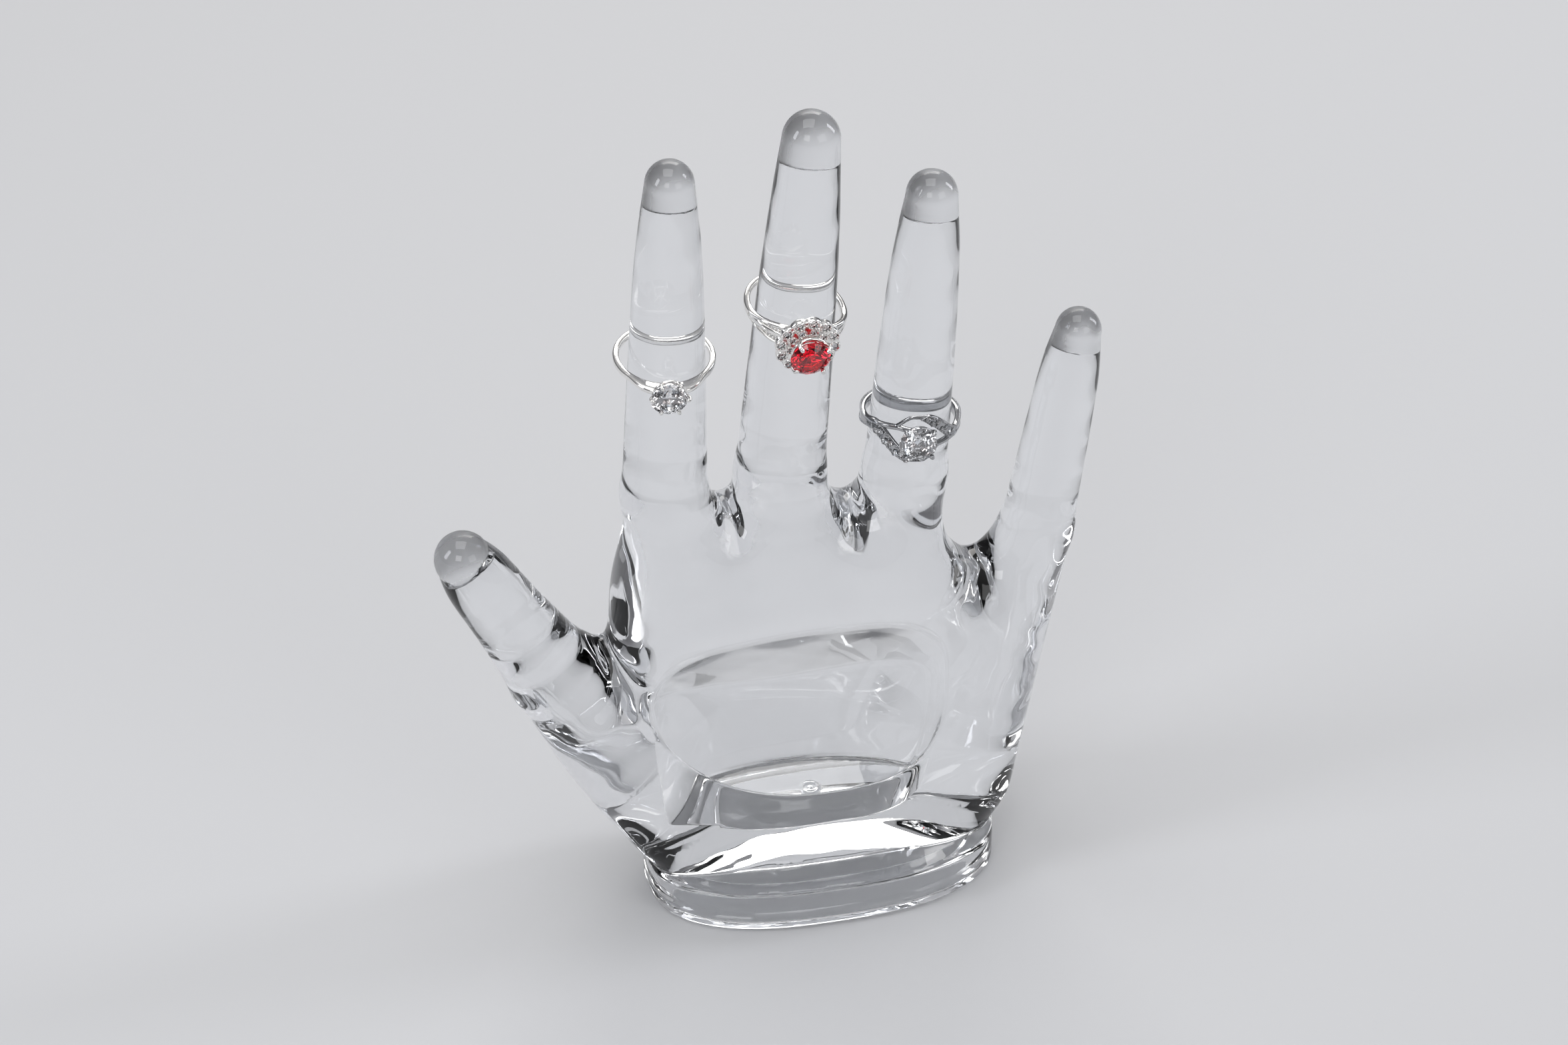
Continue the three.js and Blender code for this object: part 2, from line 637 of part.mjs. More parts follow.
// The bore follows the finger where the ring sits, as it hangs there.
// The band's lowest and highest reach is given for each angle from the front.
function ringSeat(ring, bandReach) {
  const digit = DIGITS[ring.digit];
  const frame = digitFrame(digit);
  const profile = digitProfile(digit);
  const along = (ring.height - digit.z) / Math.cos(rad(digit.splay)) / Math.cos(rad(digit.lean));
  const hang = new THREE.Matrix4().makeRotationFromEuler(
    new THREE.Euler(rad(ring.nod), rad(ring.roll), rad(ring.turn)),
  );
  const unhang = hang.clone().invert();
  let bore = 0;
  for (let i = -SEAT_ROWS; i <= SEAT_ROWS; i++) {
    const rise = (i / SEAT_ROWS) * digit.middle / 2;
    const radius = digitRadius(profile, along + rise);
    for (let j = 0; j < SEAT_ROWS; j++) {
      const angle = (2 * Math.PI * j) / SEAT_ROWS;
      const p = vec(radius * Math.cos(angle) - ring.slip, radius * digit.depth * Math.sin(angle), rise);
      p.applyMatrix4(unhang);
      const [low, high] = bandReach(THREE.MathUtils.radToDeg(Math.atan2(p.x, -p.y)));
      if (p.z >= low && p.z <= high) bore = Math.max(bore, Math.hypot(p.x, p.y));
    }
  }
  const place = frame.multiply(new THREE.Matrix4().makeTranslation(ring.slip, 0, along)).multiply(hang);
  return { bore: bore + RING_FIT, place };
}

// A band or rail round the finger: from one angle to another, measured from the front,
// with the middle of its section and its half sizes given for each angle
function rail(from, to, steps, section) {
  const closed = to - from >= FULL_TURN;
  const flat = Math.cos(Math.PI / RAIL_SIDES);
  const start = Math.min(from, to);
  const end = Math.max(from, to);
  const rings = [];
  for (let i = 0; i < steps + (closed ? 0 : 1); i++) {
    const degrees = THREE.MathUtils.lerp(start, end, i / steps);
    const angle = rad(degrees);
    const { radius, rise, thick, wide } = section(degrees);
    const ring = [];
    for (let j = 0; j < RAIL_SIDES; j++) {
      const turn = (-2 * Math.PI * (j + 0.5)) / RAIL_SIDES;
      const out = radius + (thick / 2) * Math.cos(turn) / flat;
      const up = rise + (wide / 2) * Math.sin(turn) / flat;
      ring.push(vec(out * Math.sin(angle), -out * Math.cos(angle), up));
    }
    rings.push(ring);
  }
  return loft(rings, closed);
}

const fromFront = (angle) => {
  const turned = THREE.MathUtils.euclideanModulo(angle, FULL_TURN);
  return Math.min(turned, FULL_TURN - turned);
};
const ease = (angle, { near, far }) => 1 - THREE.MathUtils.smoothstep(fromFront(angle), near, far);

// Claws from a small foot ring up and over the stone's girdle
function clawHead({ claws, claw, stone, girdle, foot, start, shift }) {
  const reach = stone / 2 + claw * CLAW.out;
  const waist = { out: (foot + reach) / 2 + claw * CLAW.bow, z: (start + girdle) / 2 };
  const solids = [];
  for (let i = 0; i < claws; i++) {
    const turn = new THREE.Matrix4().makeRotationZ((2 * Math.PI * (i + shift)) / claws);
    const curve = new THREE.CatmullRomCurve3([
      vec(foot, 0, start + claw / 2),
      vec(waist.out, 0, waist.z),
      vec(reach, 0, girdle - claw * CLAW.bow),
      vec(reach - claw * CLAW.bow, 0, girdle + claw * CLAW.crook),
      vec(reach - claw * CLAW.crook, 0, girdle + claw * CLAW.over),
    ]);
    const thickness = (share) => claw * (0.5 - CLAW.taper * share);
    solids.push(toSolid(bar(curve, thickness, CLAW_FACETS.sides, CLAW_FACETS.steps), turn));
  }
  const wire = claw * CLAW.hoop;
  const hoop = (radius, z) => {
    const profile = [];
    for (let i = 0; i <= HOOP_FACETS.sides; i++) {
      const angle = (2 * Math.PI * i) / HOOP_FACETS.sides;
      profile.push(new THREE.Vector2(radius + wire * Math.cos(angle), z + wire * Math.sin(angle)));
    }
    const upright = new THREE.Matrix4().makeRotationX(Math.PI / 2);
    return toSolid(new THREE.LatheGeometry(profile, HOOP_FACETS.steps), upright);
  };
  solids.push(hoop(foot, start + wire), hoop(waist.out, waist.z));
  const seat = gemCutter(stone, GEM_FOLDS, lift(girdle));
  return join(solids).subtract(seat);
}

// Meshes of the finished object
const display = new THREE.Group();

function addMesh(parent, name, geometry, finish) {
  const mesh = new THREE.Mesh(geometry, new THREE.MeshStandardMaterial(finish));
  mesh.name = name;
  parent.add(mesh);
  return mesh;
}

function ringGroup(seat) {
  const group = new THREE.Group();
  group.applyMatrix4(seat.place);
  display.add(group);
  return group;
}

function headGroup(parent) {
  const group = new THREE.Group();
  group.applyMatrix4(headTurn);
  parent.add(group);
  return group;
}

function addStone(parent, name, diameter, folds, matrix, finish) {
  const mesh = addMesh(parent, name, brilliant(diameter, folds), finish);
  mesh.applyMatrix4(matrix);
}

const numbered = (name, i) => `${name}_${String(i + 1).padStart(2, '0')}`;

function addSolitaire() {
  const seat = ringSeat(SOLITAIRE, () => [-SOLITAIRE_WIDTH / 2, SOLITAIRE_WIDTH / 2]);
  const group = ringGroup(seat);
  const head = headGroup(group);
  const top = seat.bore + SOLITAIRE_THICKNESS;
  const girdle = top + SOLITAIRE_LIFT;
  const foot = SOLITAIRE_STONE * FOOT_SHARE;

  const band = rail(0, FULL_TURN, RAIL_STEPS.solitaire, (angle) => {
    const thick = SOLITAIRE_THICKNESS + SOLITAIRE_RISE * ease(angle, SOLITAIRE_SHOULDER);
    return { radius: seat.bore + thick / 2, rise: 0, thick, wide: SOLITAIRE_WIDTH };
  });
  const room = new THREE.LatheGeometry([
    new THREE.Vector2(0, top),
    new THREE.Vector2(foot + SOLITAIRE_PRONG / 2 + SETTING_GAP, top),
    new THREE.Vector2(SOLITAIRE_STONE / 2 + SOLITAIRE_PRONG + SETTING_GAP, girdle),
    new THREE.Vector2(0, girdle),
  ], ROOM_STEPS);
  const upright = headTurn.clone().multiply(new THREE.Matrix4().makeRotationX(Math.PI / 2));
  addMesh(group, 'solitaire_band', toGeometry(toSolid(band).subtract(toSolid(room, upright))), WHITE_METAL);

  const prongs = clawHead({
    claws: SOLITAIRE_PRONGS, claw: SOLITAIRE_PRONG, stone: SOLITAIRE_STONE,
    girdle, foot, start: top + SETTING_GAP, shift: 0,
  });
  addMesh(head, 'solitaire_head', toGeometry(prongs), WHITE_METAL);
  addStone(head, 'solitaire_stone', SOLITAIRE_STONE, GEM_FOLDS, lift(girdle), CLEAR_GEM);
}

function addCluster() {
  const spread = (angle) => CLUSTER_SPREAD * ease(angle, CLUSTER_SPLIT);
  const seat = ringSeat(CLUSTER, (angle) => {
    const reach = Math.max(CLUSTER_WIDTH / 2, spread(angle) + CLUSTER_RAIL / 2);
    return [-reach, reach];
  });
  const group = ringGroup(seat);
  const head = headGroup(group);
  const top = seat.bore + CLUSTER_THICKNESS;
  const plateBottom = top + SETTING_GAP;
  const plateTop = plateBottom + CLUSTER_HALO_THICKNESS;
  const clawStart = plateTop + SETTING_GAP;
  const girdle = plateTop + CLUSTER_LIFT;

  const strands = [-1, 0, 1].map((side) => rail(0, FULL_TURN, RAIL_STEPS.strand, (angle) => ({
    radius: seat.bore + CLUSTER_THICKNESS / 2,
    rise: side * spread(angle),
    thick: CLUSTER_THICKNESS,
    wide: side === 0 ? CLUSTER_WIDTH : CLUSTER_RAIL,
  })));
  addMesh(group, 'cluster_shank', toGeometry(join(strands.map((strand) => toSolid(strand)))), WHITE_METAL);

  const outline = [];
  for (let i = 0; i < CLUSTER_LOBES * LOBE_STEPS; i++) {
    const angle = (2 * Math.PI * i) / (CLUSTER_LOBES * LOBE_STEPS);
    const dip = 1 - Math.abs(Math.cos((angle * CLUSTER_LOBES) / 2));
    const radius = CLUSTER_HALO / 2 - CLUSTER_LOBE_DEPTH * dip;
    outline.push(new THREE.Vector2(radius * Math.cos(angle), radius * Math.sin(angle)));
  }
  const shape = new THREE.Shape(outline);
  const eye = new THREE.Path().absarc(0, 0, CLUSTER_EYE / 2, 0, 2 * Math.PI, true);
  shape.holes.push(eye);
  const plate = toSolid(new THREE.ExtrudeGeometry(shape, {
    depth: CLUSTER_HALO_THICKNESS, bevelEnabled: false, curveSegments: EYE_STEPS,
  }), lift(plateBottom));

  const rows = [
    { name: 'cluster_outer', count: CLUSTER_LOBES, size: CLUSTER_OUTER_STONE, out: CLUSTER_HALO / 2 },
    { name: 'cluster_inner', count: CLUSTER_INNER_COUNT, size: CLUSTER_INNER_STONE,
      out: CLUSTER_HALO / 2 - CLUSTER_OUTER_STONE - 2 * SETTING_GAP },
  ];
  const cutters = [];
  for (const { name, count, size, out } of rows) {
    for (let i = 0; i < count; i++) {
      const angle = (2 * Math.PI * i) / count;
      const reach = out - size / 2 - 2 * SETTING_GAP;
      const place = new THREE.Matrix4();
      place.setPosition(reach * Math.cos(angle), reach * Math.sin(angle), plateTop);
      cutters.push(gemCutter(size, ACCENT_FOLDS, place));
      addStone(head, numbered(name, i), size, ACCENT_FOLDS, place, CLEAR_GEM);
    }
  }
  addMesh(head, 'cluster_halo', toGeometry(cut(plate, cutters)), WHITE_METAL);

  const claws = clawHead({
    claws: CLUSTER_CLAWS, claw: CLUSTER_CLAW, stone: CLUSTER_STONE,
    girdle, foot: CLUSTER_EYE / 2, start: clawStart, shift: 0.5,
  });
  addMesh(head, 'cluster_claws', toGeometry(claws), WHITE_METAL);
  addStone(head, 'cluster_stone', CLUSTER_STONE, GEM_FOLDS, lift(girdle), RED_GEM);
}

function addBypass() {
  const split = BYPASS_SPLIT.far;
  const root = split + BYPASS_MERGE;
  const leafRise = (angle) => (
    THREE.MathUtils.lerp(BYPASS_LEAF_RISE.low, BYPASS_LEAF_RISE.high, ease(angle, BYPASS_SPLIT))
  );
  const leafOut = (angle) => BYPASS_LEAF_OUT * ease(angle, BYPASS_SPLIT);
  const plainRise = (angle) => BYPASS_WIDTH / 4 + BYPASS_PLAIN_SPREAD * ease(angle, BYPASS_PLAIN_SPLIT);
  const leafWide = (angle) => {
    const share = THREE.MathUtils.inverseLerp(root, -BYPASS_LEAF_END, fromFront(angle));
    const swell = Math.sin(Math.PI * THREE.MathUtils.clamp(share, 0, 1)) ** BYPASS_LEAF_FULLNESS;
    return THREE.MathUtils.lerp(BYPASS_LEAF_TIP, BYPASS_LEAF_WIDTH, swell);
  };
  const loopShare = (angle) => THREE.MathUtils.smoothstep(angle, BYPASS_LOOP.near, BYPASS_LOOP.far);
  const loopStart = plainRise(BYPASS_LOOP.start);
  const loopCrest = leafRise(0) + BYPASS_LOOP.above;
  const seat = ringSeat(BYPASS, (angle) => {
    const reach = Math.max(BYPASS_WIDTH / 2, plainRise(angle) + BYPASS_RAIL / 2);
    return [-reach, reach];
  });
  const group = ringGroup(seat);
  const head = headGroup(group);
  const top = seat.bore + BYPASS_THICKNESS;
  const girdle = top + BYPASS_LIFT;
  const foot = BYPASS_STONE * FOOT_SHARE;
  const middle = seat.bore + BYPASS_THICKNESS / 2;

  const shank = rail(split, FULL_TURN - split, RAIL_STEPS.shank, (angle) => {
    const dip = BYPASS_DIP * ease(angle, BYPASS_TAPER);
    const side = angle < FULL_TURN / 2 ? 1 : -1;
    return {
      radius: middle, rise: -side * dip / 2, thick: BYPASS_THICKNESS, wide: BYPASS_WIDTH - dip,
    };
  });
  const solids = [toSolid(shank)];
  const cutters = [];
  for (const side of [-1, 1]) {
    const { near, far } = BYPASS_PLAIN_SPLIT;
    const plain = rail(side * far, side * near, RAIL_STEPS.plain, (angle) => ({
      radius: middle, rise: -side * plainRise(angle), thick: BYPASS_THICKNESS, wide: BYPASS_RAIL,
    }));
    const leaf = rail(side * root, side * BYPASS_LEAF_END, RAIL_STEPS.leaf, (angle) => ({
      radius: middle + leafOut(angle), rise: side * leafRise(angle),
      thick: BYPASS_THICKNESS, wide: leafWide(angle),
    }));
    const loop = rail(side * BYPASS_LOOP.start, side * BYPASS_LOOP.end, RAIL_STEPS.loop, (angle) => {
      const share = loopShare(side * angle);
      return {
        radius: middle + BYPASS_LEAF_OUT * share,
        rise: side * THREE.MathUtils.lerp(loopStart, loopCrest, share),
        thick: BYPASS_LOOP.wire, wide: BYPASS_LOOP.wire,
      };
    });
    solids.push(toSolid(plain), toSolid(leaf), toSolid(loop));
    for (let i = 0; i < BYPASS_LEAF_COUNT; i++) {
      const share = i / (BYPASS_LEAF_COUNT - 1);
      const angle = side * THREE.MathUtils.lerp(BYPASS_LEAF_ROW.near, BYPASS_LEAF_ROW.far, share);
      const stagger = (i % 2 === 0 ? 1 : -1) * BYPASS_LEAF_STAGGER * leafWide(angle);
      const place = new THREE.Matrix4().makeRotationZ(rad(angle))
        .multiply(new THREE.Matrix4().makeTranslation(
          0, -top - leafOut(angle), side * (leafRise(angle) + stagger),
        ))
        .multiply(headTurn);
      cutters.push(gemCutter(BYPASS_LEAF_STONE, ACCENT_FOLDS, place));
      const name = side > 0 ? 'bypass_upper' : 'bypass_lower';
      addStone(group, numbered(name, i), BYPASS_LEAF_STONE, ACCENT_FOLDS, place, CLEAR_GEM);
    }
  }
  addMesh(group, 'bypass_band', toGeometry(cut(join(solids), cutters)), DARK_METAL);

  const prongs = clawHead({
    claws: BYPASS_PRONGS, claw: BYPASS_PRONG, stone: BYPASS_STONE,
    girdle, foot, start: top + SETTING_GAP, shift: 0.5,
  });
  addMesh(head, 'bypass_head', toGeometry(prongs), DARK_METAL);
  addStone(head, 'bypass_stone', BYPASS_STONE, GEM_FOLDS, lift(girdle), CLEAR_GEM);
}

addMesh(display, 'hand_moulding', handMoulding(), ACRYLIC);
addSolitaire();
addCluster();
addBypass();

// The origin is on the table under the middle of the whole outline
const middle = new THREE.Box3().setFromObject(display, true).getCenter(vec(0, 0, 0));
display.position.set(-middle.x, -middle.y, 0);
display.updateMatrixWorld(true);

export default display;
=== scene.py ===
"""Looks for the clear display hand and the rings on its fingers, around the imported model."""
import math

import bpy
import numpy as np
from mathutils import Matrix, Vector


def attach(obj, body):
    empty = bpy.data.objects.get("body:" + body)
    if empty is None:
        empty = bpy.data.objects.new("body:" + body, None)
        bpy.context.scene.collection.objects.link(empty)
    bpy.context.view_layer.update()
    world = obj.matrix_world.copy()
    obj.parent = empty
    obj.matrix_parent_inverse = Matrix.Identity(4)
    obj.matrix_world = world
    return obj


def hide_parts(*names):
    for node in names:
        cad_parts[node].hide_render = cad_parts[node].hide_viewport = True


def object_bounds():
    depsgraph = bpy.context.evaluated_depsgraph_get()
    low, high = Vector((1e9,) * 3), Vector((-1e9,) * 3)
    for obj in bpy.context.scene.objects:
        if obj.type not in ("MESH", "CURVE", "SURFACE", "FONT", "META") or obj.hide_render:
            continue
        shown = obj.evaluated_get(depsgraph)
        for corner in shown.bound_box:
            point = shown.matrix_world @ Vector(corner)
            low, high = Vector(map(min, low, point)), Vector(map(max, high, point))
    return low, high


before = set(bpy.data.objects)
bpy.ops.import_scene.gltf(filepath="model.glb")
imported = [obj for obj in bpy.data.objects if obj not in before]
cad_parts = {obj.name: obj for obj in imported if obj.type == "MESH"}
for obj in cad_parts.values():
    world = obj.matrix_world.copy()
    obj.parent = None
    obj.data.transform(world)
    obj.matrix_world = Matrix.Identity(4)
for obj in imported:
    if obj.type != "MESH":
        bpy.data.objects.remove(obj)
cad_box = [list(corner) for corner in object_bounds()]
MM = 0.001

# Hand, in millimetres and degrees, as in the part's source
HAND_HEIGHT = 183.1
HAND_SPAN = 138.9
PLINTH_X = 10.5
PLINTH_LENGTH = 76
PLINTH_DEPTH = 44
PLINTH_HEIGHT = 9.5
PLINTH_EDGE = 0.8
OVAL_POWER = 2.5
RECESS_WALL = 5.5
RECESS_DEPTH = 7.5
LEDGE_DEPTH = 9.6
WRIST_INSET = 0.6
WRIST_FLARE = 0.7
WRIST_BLEND = 2
WRIST = dict(z=PLINTH_HEIGHT, left=PLINTH_X - PLINTH_LENGTH / 2 + WRIST_INSET,
             right=PLINTH_X + PLINTH_LENGTH / 2 - WRIST_INSET,
             front=LEDGE_DEPTH - PLINTH_DEPTH / 2, back=PLINTH_DEPTH / 2 - WRIST_INSET)
HEEL = dict(z=34, left=-30, right=50, front=-14, back=19)
PALM = dict(z=66, left=-33, right=52, front=-13, back=15.5)
KNUCKLES = dict(z=92, left=-32, right=54, front=-8.5, back=11.5)
PALM_SECTIONS = (WRIST, HEEL, PALM, KNUCKLES)
PALM_POWER = 2.6
ARC_X = -2.8
ARC_Z = 36
ARC_RADIUS = 58.5
DIGITS = dict(
    thumb=dict(x=23.95 - HAND_SPAN / 2, y=-1, z=61.2, drop=83.3, splay=-29.2, lean=-3,
               widths=(19.6, 16.3, 14.8, 12), depth=0.96, carpal=(-19.5, 3, 22.8), wide=36),
    index=dict(x=-21.3, y=2, z=100, drop=7.3, splay=1.9,
               widths=(17.4, 15.4, 13.2, 9.8), depth=1.08, carpal=(-17, 1.5, 70), wide=22),
    middle=dict(x=2.5, y=2, z=102, drop=0, splay=4.7,
                widths=(18.3, 16.3, 14.1, 11.5), depth=1, carpal=(4, 1.5, 70), wide=22),
    ring=dict(x=28.5, y=2, z=98, drop=16, splay=3.9,
              widths=(17.1, 15.4, 13.4, 10.4), depth=1.04, carpal=(24, 1.5, 68), wide=22),
    little=dict(x=HAND_SPAN / 2 - 11.95, y=2, z=80, drop=51.6, splay=8.6,
                widths=(15.6, 14, 12.5, 9.8), depth=1, carpal=(36.5, 3, 22), wide=36),
)
MIDDLE_JOINT = 0.42
END_JOINT = 0.72
CARPAL_DEPTH = 0.92
WEB_BLEND = 5
PALM_BLEND = 8
KNUCKLE_BLEND = 10
ROOT_BLEND = 2
NAIL_REACH = 0.98
NAIL_STEP = 0.55
NAIL_ARCH = 0.5
NAIL_END = 0.75
WINDOW = dict(left=-26, right=35, lowest=9, waist=60, top=73, bottom=30)
WINDOW_FRONT = -13.5
WINDOW_TOP_POWER = 3
WINDOW_LIP_LEFT = 2
WINDOW_LIP_RIGHT = 3
CORE_ANGLE = 50
POCKET_FLOOR = 15
POCKET_X = 5
POCKET_WIDTH = 64
POCKET_BACK_WALL = 3.9

# Fine detail of the moulding, which the solids leave out
NAIL_EDGE = 0.25
LIP_ROUND = 1.6
RIM_ROUND = 4.5
RIM_FROM, RIM_TO = 40, 60
POCKET_ROUND = 0.8
FLOOR_ROUND = 1.6
SEAM_ROUND = 0.9
RECESS_ROUND = 0.8
WAVE = 0.05
WAVE_LENGTHS = (9, 14, 23)
WAVE_FADE = 14
POCKET_FADE = 4
FROST_FROM, FROST_TO = -1.5, 1.0
FROST_EDGE = (-0.1, 0.15)
GATE_X, GATE_Y = 10.1, 6.15
GATE_RADIUS = 1.7
GATE_EDGE = 0.5
GATE_HEIGHT = 0.16
GATE_FADE = (0.6, 1.5)
HAND_FIT = (1, 0.9993, 0.9995)
TIP_FROM = 50
TIP_SQUEEZE = 0.034

# Plane waves: shares of X, Y and Z, and the phase that each further wave length adds
WAVES = ((0.8, 0, 0.5, 1.7), (0, 0.9, -0.45, 2.3), (-0.7, 0, 0.35, 0.9), (0, 0.3, 0.6, 1.1))

# How finely the fields are skinned
GRID = 0.9
GRID_MARGIN = 2
REFINE_ROUNDS = 2
FINEST_EDGE = 0.3
TURN_LIMIT = 12
BLOCK = 4
BLOCK_REACH = 1.5
PART_SIZE = 200000
SETTLE_ROUNDS = 3
SLOPE_STEPS = 40
LEAST_SQUARE = 0.1
LEAST_LENGTH = 1e-9
TINY = 1e-6
PROFILE_STEPS = 400
SIDES = ("left", "right", "front", "back")


# Distance fields, for arrays of points
def smooth_min(a, b, blend):
    mix = np.maximum(blend - np.abs(a - b), 0) / blend
    return np.minimum(a, b) - mix * mix * blend / 4


def smooth_max(a, b, blend):
    return -smooth_min(-a, -b, blend)


def smooth_step(value, low, high):
    t = np.clip((value - low) / (high - low), 0, 1)
    return t * t * (3 - 2 * t)


def oval_distance(x, y, half_length, half_depth, power, stretch=1):
    """How far outside an oval; stretch is the extra steepness of the field along its second axis."""
    u, v = np.abs(x) / half_length, np.abs(y) / half_depth
    reach = np.maximum((u ** power + v ** power) ** (1 / power), TINY)
    slope_u = (u / reach) ** (power - 1) / half_length
    slope_v = (v / reach) ** (power - 1) / half_depth * stretch
    return (reach - 1) / np.maximum(np.hypot(slope_u, slope_v), TINY)


def oval_length(off, depth):
    """Length of offsets, with Y measured in depths."""
    return np.sqrt(off[:, 0] ** 2 + (off[:, 1] / depth) ** 2 + off[:, 2] ** 2)


def smooth_path(knots, steps):
    """Points of a curve through knots."""
    knots = np.asarray(knots, float)
    out = []
    for u in np.linspace(0, len(knots) - 1, steps):
        i = min(int(u), len(knots) - 2)
        t = u - i
        p0, p1, p2, p3 = (knots[min(max(i + n, 0), len(knots) - 1)] for n in (-1, 0, 1, 2))
        v0, v1 = (p2 - p0) / 2, (p3 - p1) / 2
        cubic = 2 * p1 - 2 * p2 + v0 + v1
        square = -3 * p1 + 3 * p2 - 2 * v0 - v1
        out.append(cubic * t ** 3 + square * t ** 2 + v0 * t + p1)
    return np.array(out)


def section_track(key):
    """The palm's sections joined by cubics, with straight ends."""
    at = [s["z"] for s in PALM_SECTIONS]
    values = [s[key] for s in PALM_SECTIONS]

    def track(z):
        z = np.clip(z, at[0], at[-1])
        out = np.zeros_like(z)
        for i in range(1, len(at)):
            t0, t1 = at[i - 1], at[i]
            prev_t, prev_v = (at[i - 2], values[i - 2]) if i > 1 else (t1, values[i])
            next_t, next_v = (at[i + 1], values[i + 1]) if i + 1 < len(at) else (t0, values[i - 1])
            w0, w1 = (t1 - t0) / 2 / (t0 - prev_t), (t1 - t0) / 2 / (next_t - t1)
            p = (z - t0) / (t1 - t0)
            p2, p3 = p * p, p * p * p
            curve = ((-w0 * p3 + 2 * w0 * p2 - w0 * p) * prev_v
                     + ((1 + w0) * p3 + (-1.5 - 2 * w0) * p2 + (-0.5 + w0) * p + 1) * values[i - 1]
                     + ((-1 - w1) * p3 + (1.5 + w1) * p2 + 0.5 * p) * values[i]
                     + (w1 * p3 - w1 * p2) * next_v)
            out = np.where((z >= t0) & (z <= t1), curve, out)
        return out

    return track


TRACKS = {key: section_track(key) for key in SIDES}


class Digit:
    """A straight tapered finger with a ball at its tip, on a bone that runs into the palm."""

    def __init__(self, x, y, z, drop, splay, widths, depth, carpal, wide, lean=0):
        self.at = np.array((x, y, z), float)
        across = Matrix.Rotation(math.radians(splay), 3, "Y")
        self.turn = across @ Matrix.Rotation(math.radians(-lean), 3, "X")
        self.axis = np.array(self.turn @ Vector((0, 0, 1)))
        self.depth, self.widths = depth, widths
        self.carpal, self.carpal_radius = np.array(carpal, float), wide / 2
        tip = widths[3] / 2
        rise = HAND_HEIGHT - drop - z - tip
        self.cosine = math.cos(math.radians(splay)) * math.cos(math.radians(lean))
        self.length = rise / self.cosine + tip
        self.straight = self.length - tip
        knots = [(0, widths[0] / 2), (MIDDLE_JOINT * self.length, widths[1] / 2),
                 (END_JOINT * self.length, widths[2] / 2), (self.straight, tip)]
        self.profile = smooth_path(knots, PROFILE_STEPS)

    def radius(self, along):
        return np.interp(along, self.profile[:, 0], self.profile[:, 1])

    def distance(self, p):
        q = p - self.at
        along = np.clip(q @ self.axis, 0, self.straight)
        off = q - along[:, None] * self.axis
        finger = oval_length(off, self.depth) - self.radius(along)
        bone = self.at - self.carpal
        q = p - self.carpal
        share = np.clip(q @ bone / (bone @ bone), 0, 1)
        off = q - share[:, None] * bone
        depth = CARPAL_DEPTH + (self.depth - CARPAL_DEPTH) * share
        radius = self.carpal_radius + (self.radius(0) - self.carpal_radius) * share
        return smooth_min(finger, oval_length(off, depth) - radius, ROOT_BLEND)

    def nail(self, p):
        """Negative in the slice that is taken off the back of the tip, above the fold."""
        outline, out = self.nail_plan(p)
        return np.maximum(outline, -out)

    def nail_plan(self, p):
        """How far points lie outside the nail's outline, and how far behind its face."""
        fold = self.length - NAIL_REACH * self.widths[2]
        wide = float(self.radius(fold))
        back = wide * self.depth - NAIL_STEP
        end = self.widths[3] / 2 * self.depth * NAIL_END
        tilt = math.atan2(back - end, self.length - fold)
        local = (p - self.at) @ np.array(self.turn)
        y, z = local[:, 1] - back, local[:, 2] - fold
        out = y * math.cos(tilt) + z * math.sin(tilt)
        up = -y * math.sin(tilt) + z * math.cos(tilt)
        arch = NAIL_ARCH * wide
        round_end = oval_distance(local[:, 0], up - arch, wide, arch, 2)
        return np.where(up > arch, np.abs(local[:, 0]) - wide, round_end), out


FINGERS = {name: Digit(**size) for name, size in DIGITS.items()}


def palm_distance(p):
    x, y, z = p.T
    left, right, front, back = (TRACKS[key](z) for key in SIDES)
    across, deep = x - (left + right) / 2, y - (front + back) / 2
    side = oval_distance(across, deep, (right - left) / 2, (back - front) / 2, PALM_POWER)
    above = np.hypot(x - ARC_X, np.maximum(z - ARC_Z, 0)) - ARC_RADIUS
    return smooth_max(side, above, KNUCKLE_BLEND)


def plinth_oval(p, inset):
    half_length, half_depth = PLINTH_LENGTH / 2 - inset, PLINTH_DEPTH / 2 - inset
    return oval_distance(p[:, 0] - PLINTH_X, p[:, 1], half_length, half_depth, OVAL_POWER)


def pocket_distance(p):
    """The pocket: a core that slants down from the palm's window, within the room before the back wall."""
    x, y, z = p.T
    angle = math.radians(CORE_ANGLE)
    across = x - WINDOW["lowest"]
    up = z + (y - WINDOW_FRONT) * math.tan(angle) - WINDOW["waist"]
    half_width = np.where(across > 0, WINDOW["right"] - WINDOW["lowest"], WINDOW["lowest"] - WINDOW["left"])
    steep = 1 / math.cos(angle)
    upper = oval_distance(across, up, half_width, WINDOW["top"] - WINDOW["waist"], WINDOW_TOP_POWER, steep)
    lip_power = np.where(across > 0, WINDOW_LIP_RIGHT, WINDOW_LIP_LEFT)
    lower = oval_distance(across, up, half_width, WINDOW["waist"] - WINDOW["bottom"], lip_power, steep)
    core = np.where(up > 0, upper, lower)
    lean = (WRIST["back"] - HEEL["back"]) / (HEEL["z"] - WRIST["z"])
    depth = float(TRACKS["back"](np.array([POCKET_FLOOR]))[0]) - POCKET_BACK_WALL
    local = y + lean * (z - POCKET_FLOOR)
    back = oval_distance(x - POCKET_X, local, POCKET_WIDTH / 2, depth, 2)
    room = np.where(local > 0, back, np.abs(x - POCKET_X) - POCKET_WIDTH / 2)
    return smooth_max(smooth_max(core, room, POCKET_ROUND), POCKET_FLOOR - z, FLOOR_ROUND)


